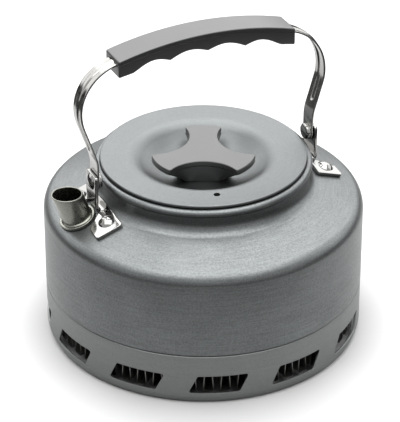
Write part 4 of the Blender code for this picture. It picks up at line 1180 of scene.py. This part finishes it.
def make_rivets(s):
    """Shoulder rivets, pivot rivets and the pivots' washers."""
    b, gap = s.bail, s.pot.gap
    head_edge, tail_taper = 0.1 * MM, 0.3 * MM
    play, soft = 0.05 * MM, 0.12 * MM
    head = gap + b.bracket_sheet
    tail = -s.pot.sheet
    profile = dome(head, b.rivet_head_radius, b.rivet_head)
    profile += [
        (b.rivet_head_radius - head_edge, head - head_edge),
        (b.rivet_radius, head - head_edge),
        (b.rivet_radius, tail),
        (b.rivet_tail_radius, tail),
        (b.rivet_tail_radius - tail_taper, tail - b.rivet_tail),
        (0.0, tail - b.rivet_tail),
    ]
    seats = [on_shoulder(s, x, y) for x, y in rivet_places(s)]
    nodes = [f"bracket_rivet_{i + 1}" for i in range(4)]
    rivet_set("bracket_rivets", profile, seats, "polished_steel", nodes, "steel")

    washer_out = s.strap_x - b.strap_sheet - play
    washer_in = washer_out - b.washer_sheet
    outer_head = s.ear_x + b.bracket_sheet
    profile = dome(outer_head, b.pivot_head_radius, b.pivot_outer_head + gap)
    profile += [(b.rivet_radius, outer_head), (b.rivet_radius, washer_in)]
    profile += pan_head(washer_in, b.pivot_head_radius, b.pivot_inner_head, upward=-1.0)[::-1]
    sides = [(Vector((0.0, 0.0, s.pivot_z)), Vector((sign, 0.0, 0.0))) for sign in (-1.0, 1.0)]
    nodes = ["pivot_rivet_spout_side", "pivot_rivet_far_side"]
    rivet_set("pivot_rivets", profile, sides, "polished_steel", nodes, "steel")
    hole = b.rivet_radius + play
    profile = [
        (hole, washer_out),
        (b.washer_radius - soft, washer_out),
        (b.washer_radius, washer_out - soft),
        (b.washer_radius, washer_in + soft),
        (b.washer_radius - soft, washer_in),
        (hole, washer_in),
    ]
    nodes = ["pivot_washer_spout_side", "pivot_washer_far_side"]
    rivet_set("pivot_washers", profile, sides, "plain_steel", nodes, "plain")


def settled(s, points):
    """The same points with the bail's slight set: over its knees it stands to the spout side and dips."""
    b = s.bail
    rise = 30.0 * MM
    result = []
    for x, y, z in points:
        t = max(0.0, min(1.0, (z - s.pivot_z - b.knee_above) / rise))
        part = t * t * (3.0 - 2.0 * t)
        result.append((x - b.bail_shift * part, y, z - x * b.bail_dip * part))
    return result


def strap_height(s, x):
    """Height of the strap's outer face under the grip at plan position x."""
    return s.arc_z + math.sqrt(s.strap_arc**2 - x * x)


def strap_path(s):
    """Outer face of one half of the strap from the middle of the grip down to the pivot."""
    b = s.bail
    past_grip, step = 0.6 * MM, 0.5 * MM
    end_x = s.grip_half + past_grip
    path = [(end_x * i / 30.0, strap_height(s, end_x * i / 30.0)) for i in range(31)]
    last = Vector(path[-1])
    slope = last.x / (strap_height(s, last.x) - s.arc_z)
    knee = Vector((s.strap_x, s.pivot_z + b.knee_above))
    lean = math.tan(b.leg_lean)
    top_z = (last.y + slope * (last.x - knee.x + lean * knee.y)) / (1.0 + slope * lean)
    corner = Vector((knee.x + lean * (top_z - knee.y), top_z))
    a = (last - corner).normalized()
    c = (knee - corner).normalized()
    radius = (last - corner).length * math.tan(0.5 * a.angle(c))
    path += fillet(last, corner, knee, radius, 48)[1:]
    bend = fillet(corner, knee, (s.strap_x, s.pivot_z), b.knee_radius, 10)
    start = Vector(path[-1])
    end = Vector(bend[0])
    steps = max(2, int((end - start).length / step))
    path += [tuple(start.lerp(end, k / steps)) for k in range(1, steps)]
    path += bend
    path.append((s.strap_x, s.pivot_z))
    return path


def make_strap(s):
    """Bail strap: rounded ends, upright feet, leaning legs with a pressed rib, a flat run in the grip."""
    b = s.bail
    half_width, narrowest = 0.5 * b.strap_width, 0.02
    path = [(x, z, 1.0) for x, z in strap_path(s)]
    for k in range(1, 13):
        a = 0.5 * math.pi * k / 12
        path.append((s.strap_x, s.pivot_z - half_width * math.sin(a), max(narrowest, math.cos(a))))
    run = [0.0]
    for p, q in zip(path, path[1:]):
        run.append(run[-1] + math.hypot(q[0] - p[0], q[1] - p[1]))
    rib_z = s.pivot_z + b.rib_above
    rib_x = s.grip_half - 5.0 * MM
    rib_end = max(r for r, p in zip(run, path) if p[1] >= rib_z)
    rib_start = max(r for r, p in zip(run, path) if p[0] <= rib_x and p[1] > rib_z)
    rib_half = 0.5 * b.rib_width

    def lift(along, y):
        """Height of the pressed rib, with round ends."""
        near = min(along - rib_start, rib_end - along)
        if near <= 0.0:
            return 0.0
        depth = rib_half - abs(y) if near > rib_half else rib_half - math.hypot(y, rib_half - near)
        t = max(0.0, min(1.0, depth / b.rib_side))
        return b.rib_height * t * t * (3.0 - 2.0 * t)

    full = [(-x, z, w, r) for (x, z, w), r in zip(reversed(path), reversed(run))]
    full += [(x, z, w, r) for (x, z, w), r in zip(path[1:], run[1:])]
    edge, sheet = b.strap_edge, b.strap_sheet
    across = [-1.0 + 2.0 * k / 30.0 for k in range(31)]
    # softened edge: how deep under the strap's face, and how far out from where the face ends
    rim = [(0.3 * edge, 0.7 * edge), (edge, edge), (sheet - edge, edge), (sheet - 0.3 * edge, 0.7 * edge)]
    rings = []
    for i, (x, z, width, along) in enumerate(full):
        before = full[max(i - 1, 0)]
        after = full[min(i + 1, len(full) - 1)]
        d = Vector((after[0] - before[0], after[1] - before[1])).normalized()
        reach = half_width * width - edge
        face = [(part * reach, lift(along, part * reach)) for part in across]
        section = face + [(reach + wide, -deep) for deep, wide in rim]
        section += [(y, up - sheet) for y, up in reversed(face)]
        section += [(-reach - wide, -deep) for deep, wide in reversed(rim)]
        rings.append(settled(s, [(x - d.y * up, y, z + d.x * up) for y, up in section]))
    ob = piece("bail_strap", lofted(rings), look("strap"), 50.0)
    hand_over(ob, "bail", "polished_steel", "handle_strap")


def grip_underside(s, x):
    """Depth of the grip's underside below its top middle: end blocks and four finger grooves."""
    b = s.bail
    place = abs(x) / s.grip_half
    if place >= BLOCK_START:
        return b.block_depth + b.grip_slope * (place - BLOCK_START) * s.grip_half
    knots = GRIP_KNOTS + [(BLOCK_START, b.block_depth)]
    span = 0
    while place > knots[span + 1][0] + 1e-9:
        span += 1
    (start, deep_start), (end, deep_end) = knots[span:span + 2]
    t = min(1.0, max(0.0, (place - start) / (end - start)))
    depth = deep_start + (deep_end - deep_start) * t
    if end < BLOCK_START:
        depth -= b.groove_depth * max(0.0, math.sin(math.pi * t))
    return depth


def grip_stations(s):
    """Positions along the grip where its sections are laid, with the inset of its soft ends."""
    soft = s.bail.grip_end
    inner = s.grip_half - soft
    half = [inner * k / 70.0 for k in range(71)]
    half += [place * s.grip_half for place, _ in GRIP_KNOTS[1:]]
    half.append(BLOCK_START * s.grip_half)
    stations = [(x, 0.0) for x in sorted(set(half))]
    for k in range(1, 7):
        a = 0.5 * math.pi * k / 6
        stations.append((inner + soft * math.sin(a), soft * (1.0 - math.cos(a))))
    return [(-x, inset) for x, inset in reversed(stations)] + stations[1:]


def make_grip(s):
    """Two plastic mouldings round the strap: a channel with finger grooves below, and a cap above."""
    b, gap = s.bail, s.pot.gap
    half = 0.5 * b.grip_width
    channel = 0.5 * b.strap_width + gap
    groove = 0.5 * b.rib_width + gap
    soft, seam, flush = b.grip_edge, 0.08 * MM, 0.02 * MM
    rib_x = s.grip_half - 8.0 * MM
    lower, upper = [], []
    for x, inset in grip_stations(s):
        strap = strap_height(s, x)
        top = s.arc_z + math.sqrt(s.arc**2 - x * x) - inset
        side = half - inset
        bottom = s.grip_top - grip_underside(s, x) + inset
        floor = strap - b.strap_sheet - gap
        edge = min(soft, 0.45 * (floor - bottom))
        right = arc((side - edge, bottom + edge), edge, 0.0, -math.pi / 2.0, 7)
        left = [(-y, z) for y, z in reversed(right)]
        section = [(side - flush, strap), (side, strap - flush)] + right + [(0.5 * (side - edge), bottom)]
        section += [(-0.5 * (side - edge), bottom)] + left + [(-side, strap - flush), (flush - side, strap)]
        section += [(-channel, strap), (-channel, floor), (channel, floor), (channel, strap)]
        lower.append(settled(s, [(x, y, z) for y, z in section]))
        under = strap + 0.5 * gap
        room = b.rib_height + gap if abs(x) > rib_x else 0.0
        right = arc((side - soft, top - soft), soft, 0.0, math.pi / 2.0, 9)
        right = [(y, max(z, under + 2.0 * seam)) for y, z in right]
        left = [(-y, z) for y, z in reversed(right)]
        middle = [(0.5 * (side - soft) * k, top) for k in (1.6, 1.0, 0.0, -1.0, -1.6)]
        section = [(side - seam, under), (side, under + seam)] + right + middle + left
        section += [(-side, under + seam), (seam - side, under), (-groove - room, under)]
        section += [(-groove, under + room), (groove, under + room), (groove + room, under)]
        upper.append(settled(s, [(x, y, z) for y, z in section]))
    low = piece("grip_body", lofted(lower), look("plastic"), 40.0, merge=1e-9)
    hand_over(low, "bail", "black_plastic", "grip_lower")
    cap = piece("grip_cap", lofted(upper), look("plastic"), 40.0, merge=1e-9)
    hand_over(cap, "bail", "black_plastic", "grip_upper")


def make_lid(s):
    """Pressed lid: sunk dish, flat band, hemmed rim and plug skirt, with its steam hole."""
    l = s.lid
    hole = s.bail.rivet_radius + s.pot.gap
    flat_r = l.dish_floor_ratio * s.dish_r
    wall = [(hole, s.dish_z), (flat_r, s.dish_z)]
    dish_curve = 1.7
    for i in range(1, 41):
        t = i / 40.0
        wall.append((flat_r + (s.dish_r - flat_r) * t, s.dish_z + l.dish_depth * t**dish_curve))
    reach = l.dish_round
    kept = [q for q in wall if q[0] < s.dish_r - reach]
    before, corner, after = Vector(kept[-1]), Vector(wall[-1]), Vector((s.dish_r + reach, s.lid_top))
    for k in range(1, 13):
        t = k / 12.0
        kept.append(tuple(before.lerp(corner, t).lerp(corner.lerp(after, t), t)))
    under = []
    for i, q in enumerate(kept):
        a = Vector(kept[max(i - 1, 0)])
        c = Vector(kept[min(i + 1, len(kept) - 1)])
        d = (c - a).normalized()
        under.append((q[0] + d.y * l.sheet, q[1] - d.x * l.sheet))
    rim = s.lid_top - l.rim
    edge, soft, vent_inset = 0.7 * MM, 0.4 * MM, 1.2 * MM
    skirt_end = rim - l.skirt_length
    profile = kept
    profile += arc((s.lid_radius - edge, s.lid_top - edge), edge, math.pi / 2.0, 0.0, 8)
    profile += arc((s.lid_radius - soft, rim + soft), soft, 0.0, -math.pi / 2.0, 4)
    profile += [
        (s.skirt_r, rim),
        (s.skirt_r, skirt_end + soft),
        (s.skirt_r - 0.5 * soft, skirt_end),
        (s.skirt_r - l.skirt_sheet, skirt_end),
        (s.skirt_r - l.skirt_sheet, s.lid_top - l.sheet),
    ]
    profile += under[::-1]
    ob = piece("lid", turned(refined(profile, step=1.8 * MM), ROUND_STEPS), look("lid"))
    vent = 0.5 * (s.dish_r + s.skirt_r) - vent_inset
    spot = (vent * math.cos(l.vent_azimuth), vent * math.sin(l.vent_azimuth), s.lid_top)
    cutter = rod(l.vent_radius, spot, UP, -3.0 * MM, 2.0 * MM, 48)
    cut(ob, piece("hole", cutter, None))
    hand_over(ob, "lid", "anodised_aluminium", "lid_shell")


def knob_outline(s, inset):
    """Three-lobed outline, moved inward by `inset`; every corner keeps its centre."""
    l = s.lid
    bite = l.bite_ratio * s.knob_r
    centre_r = l.bite_centre_ratio * s.knob_r
    soft = l.knob_corner * s.knob_r
    lobe_r = s.knob_r - soft
    reach = bite + soft
    cos_a = (lobe_r * lobe_r + centre_r * centre_r - reach * reach) / (2.0 * lobe_r * centre_r)
    corner_a = math.acos(max(-1.0, min(1.0, cos_a)))
    points = []

    def sweep(centre, radius, start, end, steps):
        """Adds an arc without its last point."""
        for i in range(steps):
            a = start + (end - start) * i / steps
            points.append((centre.x + radius * math.cos(a), centre.y + radius * math.sin(a)))

    for k in range(3):
        bite_a = l.knob_azimuth + math.pi / 3.0 + k * 2.0 * math.pi / 3.0
        centre = Vector((centre_r * math.cos(bite_a), centre_r * math.sin(bite_a)))
        first = Vector((lobe_r * math.cos(bite_a - corner_a), lobe_r * math.sin(bite_a - corner_a)))
        second = Vector((lobe_r * math.cos(bite_a + corner_a), lobe_r * math.sin(bite_a + corner_a)))
        start = math.atan2(first.y - centre.y, first.x - centre.x)
        end = math.atan2(second.y - centre.y, second.x - centre.x)
        back = (end - start) % (2.0 * math.pi) - 2.0 * math.pi
        a0 = bite_a - corner_a
        sweep(first, soft - inset, a0, a0 + (start + math.pi - a0) % (2.0 * math.pi), 10)
        sweep(centre, bite + inset, start, start + back, 28)
        a0 = end + math.pi
        sweep(second, soft - inset, a0, a0 + (bite_a + corner_a - a0) % (2.0 * math.pi), 10)
        lobe = 2.0 * math.pi / 3.0 - 2.0 * corner_a
        a0 = bite_a + corner_a
        sweep(Vector((0.0, 0.0)), s.knob_r - inset, a0, a0 + lobe, 16)
    return points


def make_knob(s):
    """Knob: three-lobed plate with soft edges on a flared stem, with its screw and washer below the lid."""
    l = s.lid
    top = s.lid_top + l.knob_rise
    plate = top - l.knob_thickness
    end = s.dish_z + s.pot.gap
    stem_steps, flare = 14, 0.8
    round_r = 0.86 * l.stem_ratio * s.knob_r
    outline = knob_outline(s, -l.knob_ledge)
    rings = []
    for k in range(stem_steps + 1):
        part = k / stem_steps
        spread = part**flare
        lobed = l.stem_ratio + (1.0 - l.stem_ratio) * spread
        even = (1.0 - spread) * l.stem_roundness
        height = end + (plate - end) * part
        shrinks = [lobed + even * (round_r / math.hypot(x, y) - lobed) for x, y in outline]
        rings.append([(x * shrink, y * shrink, height) for (x, y), shrink in zip(outline, shrinks)])
    edge, lip = l.knob_edge, 0.2 * MM
    layers = [(2.0 * lip, plate + 0.25 * lip)]
    for k in range(5):
        a = 0.5 * math.pi * k / 4
        layers.append((lip * (1.0 - math.sin(a)), plate + 0.5 * lip + lip * (1.0 - math.cos(a))))
    for k in range(7):
        a = 0.5 * math.pi * k / 6
        layers.append((edge * (1.0 - math.cos(a)), top - edge + edge * math.sin(a)))
    layers += [(edge + 0.3 * MM, top), (edge + 0.6 * MM, top)]
    rings += [[(x, y, z) for x, y in knob_outline(s, inset)] for inset, z in layers]
    ob = piece("knob", lofted(rings), look("plastic"), 40.0)
    hand_over(ob, "lid", "black_plastic", "lid_knob")
    for name in ("knob_screw", "knob_washer"):
        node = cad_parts[name]
        for place in node.material_slots:
            place.material = look("plain")


def facing(direction):
    """Rotation of a light or camera that looks in a direction."""
    return direction.to_track_quat("-Z", "Y").to_euler()


def soft_light(name, place, target, width, height, brightness):
    """Area light whose face has the given brightness, where 1 is white."""
    data = bpy.data.lights.new(name, "AREA")
    data.shape = "RECTANGLE"
    data.size, data.size_y = width, height
    data.energy = brightness * math.pi * width * height
    ob = new_object(name, data)
    ob.location = place
    ob.visible_camera = False
    ob.rotation_euler = facing(Vector(target) - ob.location)


def background_share(tree):
    """1 for rays that show the background: seen directly, in gloss or through glass."""
    path = add(tree, "ShaderNodeLightPath")
    seen = math_node(tree, "MAXIMUM", path.outputs["Is Camera Ray"], path.outputs["Is Glossy Ray"])
    return math_node(tree, "MAXIMUM", seen, path.outputs["Is Transmission Ray"])


def make_world(studio):
    """White surroundings as seen, and a plain level of light from them."""
    world = bpy.data.worlds.new("studio_world")
    bpy.context.scene.world = world
    world.use_nodes = True
    tree = world.node_tree
    surface = tree.nodes["Background"]
    surface.inputs["Color"].default_value = (1.0, 1.0, 1.0, 1.0)
    seen = background_share(tree)
    strength = add(tree, "ShaderNodeMapRange")
    tree.links.new(seen, strength.inputs["Value"])
    strength.inputs["To Min"].default_value = studio.room
    strength.inputs["To Max"].default_value = 1.0
    tree.links.new(strength.outputs[0], surface.inputs["Strength"])


def make_floor(studio):
    """Plain pale floor that keeps the kettle's soft shadow; a painted glow, seen directly and in gloss,
    makes it white behind the kettle and far away, and leaves it dimmer in front.
    """
    bpy.ops.mesh.primitive_plane_add(size=12.0)
    floor = bpy.context.object
    floor.name = "studio_floor"
    finish, tree, shader = shader_of("floor_white", tuple(studio.floor), 0.0, 0.9)
    shader.inputs["Specular IOR Level"].default_value = 0.0
    place = add(tree, "ShaderNodeTexCoord").outputs["Object"]
    length = add(tree, "ShaderNodeVectorMath", operation="LENGTH")
    tree.links.new(place, length.inputs[0])
    distance = length.outputs["Value"]
    behind = add(tree, "ShaderNodeVectorMath", operation="DOT_PRODUCT")
    behind.inputs[1].default_value = AHEAD
    tree.links.new(place, behind.inputs[0])
    # painted light: the glow shaped here stands in for light on the floor, seen directly and in gloss; it is
    # none under the kettle, full round and behind it, fades out further in front, which leaves painted shade
    # there, and is full again far away
    # each share grows between two distances from the kettle's axis, in metres
    beyond = ranged(tree, distance, 0.0, studio.floor_glow, from_low=0.075, from_high=0.10)
    rear = ranged(tree, behind.outputs["Value"], 0.0, 1.0, from_low=-0.17, from_high=-0.06)
    far = ranged(tree, distance, 0.0, 1.0, from_low=0.45, from_high=1.3)
    amount = math_node(tree, "MAXIMUM", math_node(tree, "MULTIPLY", beyond, rear), far)
    glow = add(tree, "ShaderNodeEmission")
    tree.links.new(math_node(tree, "MULTIPLY", background_share(tree), amount), glow.inputs["Strength"])
    both = add(tree, "ShaderNodeAddShader")
    tree.links.new(shader.outputs[0], both.inputs[0])
    tree.links.new(glow.outputs[0], both.inputs[1])
    tree.links.new(both.outputs[0], tree.nodes["Material Output"].inputs["Surface"])
    floor.data.materials.append(finish)


def make_flag(name, pairs):
    """Dark cloth between pairs of points: it puts dark bands into metal and is seen in reflections only."""
    bm = bmesh.new()
    rows = [(bm.verts.new(low), bm.verts.new(high)) for low, high in pairs]
    for a, b in zip(rows, rows[1:]):
        bm.faces.new((a[0], b[0], b[1], a[1]))
    mesh = bpy.data.meshes.new(name)
    bm.to_mesh(mesh)
    bm.free()
    ob = new_object(name, mesh)
    finish, _, _ = shader_of(name + "_cloth", (0.02, 0.02, 0.02), 0.0, 1.0)
    mesh.materials.append(finish)
    ob.visible_camera = False
    ob.visible_diffuse = False
    ob.visible_shadow = False


def make_camera(studio):
    """Camera at the photograph's viewing angle."""
    data = bpy.data.cameras.new("studio_camera")
    data.lens = studio.lens
    data.sensor_width = 36.0
    data.clip_end = 30.0
    ob = new_object("studio_camera", data)
    ob.location = (-0.4483, -0.9360, 0.6755)
    ob.rotation_euler = facing(Vector((0.3703, 0.7763, -0.5101)))
    bpy.context.scene.camera = ob


def make_lights(studio):
    """Soft lights in an arc from behind over the top to the front, and a low one at each side."""
    centre = UP * 0.08
    reach = 1.8
    # angle up from behind in degrees, width, height, brightness
    boxes = [
        (25.0, 2.8, 1.10, studio.back_light),
        (57.0, 2.0, 0.96, studio.top_light),
        (87.0, 2.4, 0.96, studio.top_light),
        (116.0, 2.6, 0.96, studio.front_light),
    ]
    for number, (angle, width, height, brightness) in enumerate(boxes):
        a = math.radians(angle)
        place = centre + AHEAD * (reach * math.cos(a)) + UP * (reach * math.sin(a))
        soft_light(f"softbox_{number + 1}", place, centre, width, height, brightness)
    around, above = math.radians(62.0), math.radians(25.0)
    for number, sign in enumerate((-1.0, 1.0)):
        level = AHEAD * math.cos(around) + SIDE * (sign * math.sin(around))
        place = centre + (level * math.cos(above) + UP * math.sin(above)) * reach
        soft_light(f"side_softbox_{number + 1}", place, centre, 1.5, 1.1, studio.side_light)


def make_screens(studio):
    """Dark cloths seen in gloss only, painted dark reflections in the metal: one round the stage, open in
    front, and one just over the floor from a radius round the kettle outwards.
    """
    far, high, lift = 2.3, 0.5, 0.0015
    open_front, brim_back_radius, steps = -0.4, 0.48, 48
    directions = []
    for k in range(steps + 1):
        a = math.pi * (1.0 + 2.0 * k / steps)
        directions.append(AHEAD * math.cos(a) + SIDE * math.sin(a))
    wall = [(p * far, p * far + UP * high) for p in directions if p.dot(AHEAD) > open_front]
    make_flag("dark_surround", wall)
    # painted dark reflection: the brim darkens the floor as the metal sees it, past a radius that is
    # smallest in front
    brim = []
    for p in directions:
        behind = 0.5 + 0.5 * p.dot(AHEAD)
        near = studio.brim_front_radius + (brim_back_radius - studio.brim_front_radius) * behind**2
        brim.append((p * near + UP * lift, p * far + UP * lift))
    make_flag("dark_brim", brim)


def make_stage():
    """World, floor, camera, lights and dark screens."""
    studio = bpy.context.scene.kettle_studio
    bpy.context.scene.view_settings.view_transform = "Standard"
    make_world(studio)
    make_floor(studio)
    make_camera(studio)
    make_lights(studio)
    make_screens(studio)


def make_brackets(s):
    """Both brackets, the spout side first."""
    make_bracket(s, "bracket_near_spout", -1.0, "bracket_spout_side")
    make_bracket(s, "bracket_far", 1.0, "bracket_far_side")


class KETTLE_OT_pot(bpy.types.Operator):
    """Make the pot"""

    bl_idname = "kettle.pot"
    bl_label = "Pot"
    bl_options = {"REGISTER", "UNDO"}

    def execute(self, context):
        make_pot(plan())
        return {"FINISHED"}


class KETTLE_OT_ring(bpy.types.Operator):
    """Make the ring under the pot"""

    bl_idname = "kettle.ring"
    bl_label = "Slotted ring"
    bl_options = {"REGISTER", "UNDO"}

    def execute(self, context):
        make_ring(plan())
        return {"FINISHED"}


class KETTLE_OT_fins(bpy.types.Operator):
    """Make the folded strip"""

    bl_idname = "kettle.fins"
    bl_label = "Fins"
    bl_options = {"REGISTER", "UNDO"}

    def execute(self, context):
        make_fins(plan())
        return {"FINISHED"}


class KETTLE_OT_spout(bpy.types.Operator):
    """Make the spout and its collar"""

    bl_idname = "kettle.spout"
    bl_label = "Spout"
    bl_options = {"REGISTER", "UNDO"}

    def execute(self, context):
        make_spout(plan())
        return {"FINISHED"}


class KETTLE_OT_brackets(bpy.types.Operator):
    """Make both brackets"""

    bl_idname = "kettle.brackets"
    bl_label = "Brackets"
    bl_options = {"REGISTER", "UNDO"}

    def execute(self, context):
        make_brackets(plan())
        return {"FINISHED"}


class KETTLE_OT_rivets(bpy.types.Operator):
    """Make all rivets and washers"""

    bl_idname = "kettle.rivets"
    bl_label = "Rivets"
    bl_options = {"REGISTER", "UNDO"}

    def execute(self, context):
        make_rivets(plan())
        return {"FINISHED"}


class KETTLE_OT_strap(bpy.types.Operator):
    """Make the strap"""

    bl_idname = "kettle.strap"
    bl_label = "Bail strap"
    bl_options = {"REGISTER", "UNDO"}

    def execute(self, context):
        make_strap(plan())
        return {"FINISHED"}


class KETTLE_OT_grip(bpy.types.Operator):
    """Make the grip"""

    bl_idname = "kettle.grip"
    bl_label = "Grip"
    bl_options = {"REGISTER", "UNDO"}

    def execute(self, context):
        make_grip(plan())
        return {"FINISHED"}


class KETTLE_OT_lid(bpy.types.Operator):
    """Make the lid"""

    bl_idname = "kettle.lid"
    bl_label = "Lid"
    bl_options = {"REGISTER", "UNDO"}

    def execute(self, context):
        make_lid(plan())
        return {"FINISHED"}


class KETTLE_OT_knob(bpy.types.Operator):
    """Make the knob, and finish its screw and washer"""

    bl_idname = "kettle.knob"
    bl_label = "Knob"
    bl_options = {"REGISTER", "UNDO"}

    def execute(self, context):
        make_knob(plan())
        return {"FINISHED"}


class KETTLE_OT_stage(bpy.types.Operator):
    """Make floor, lights and camera"""

    bl_idname = "kettle.stage"
    bl_label = "Stage"
    bl_options = {"REGISTER", "UNDO"}

    def execute(self, context):
        make_stage()
        return {"FINISHED"}


OPERATORS = [
    KETTLE_OT_pot,
    KETTLE_OT_ring,
    KETTLE_OT_fins,
    KETTLE_OT_spout,
    KETTLE_OT_brackets,
    KETTLE_OT_rivets,
    KETTLE_OT_strap,
    KETTLE_OT_grip,
    KETTLE_OT_lid,
    KETTLE_OT_knob,
    KETTLE_OT_stage,
]


class KETTLE_PT_panel(bpy.types.Panel):
    """Lists the kettle's operators."""

    bl_idname = "KETTLE_PT_panel"
    bl_label = "Camping kettle"
    bl_space_type = "VIEW_3D"
    bl_region_type = "UI"
    bl_category = "Kettle"

    def draw(self, context):
        for maker in OPERATORS:
            self.layout.operator(maker.bl_idname)


GROUPS = {
    "pot_sizes": PotSizes,
    "lid_sizes": LidSizes,
    "bail_sizes": BailSizes,
    "kettle_finishes": Finishes,
    "kettle_studio": Studio,
}


def register():
    """Registers the settings, the operators and the panel."""
    for name, group in GROUPS.items():
        bpy.utils.register_class(group)
        setattr(bpy.types.Scene, name, PointerProperty(type=group))
    for maker in OPERATORS:
        bpy.utils.register_class(maker)
    bpy.utils.register_class(KETTLE_PT_panel)


def unregister():
    """Takes the panel, the operators and the settings off again."""
    bpy.utils.unregister_class(KETTLE_PT_panel)
    for maker in reversed(OPERATORS):
        bpy.utils.unregister_class(maker)
    for name, group in reversed(GROUPS.items()):
        delattr(bpy.types.Scene, name)
        bpy.utils.unregister_class(group)


def main():
    """Makes every piece and the stage."""
    register()
    for maker in OPERATORS:
        word = maker.bl_idname.split(".")[1]
        getattr(bpy.ops.kettle, word)()


if __name__ == "__main__":
    main()
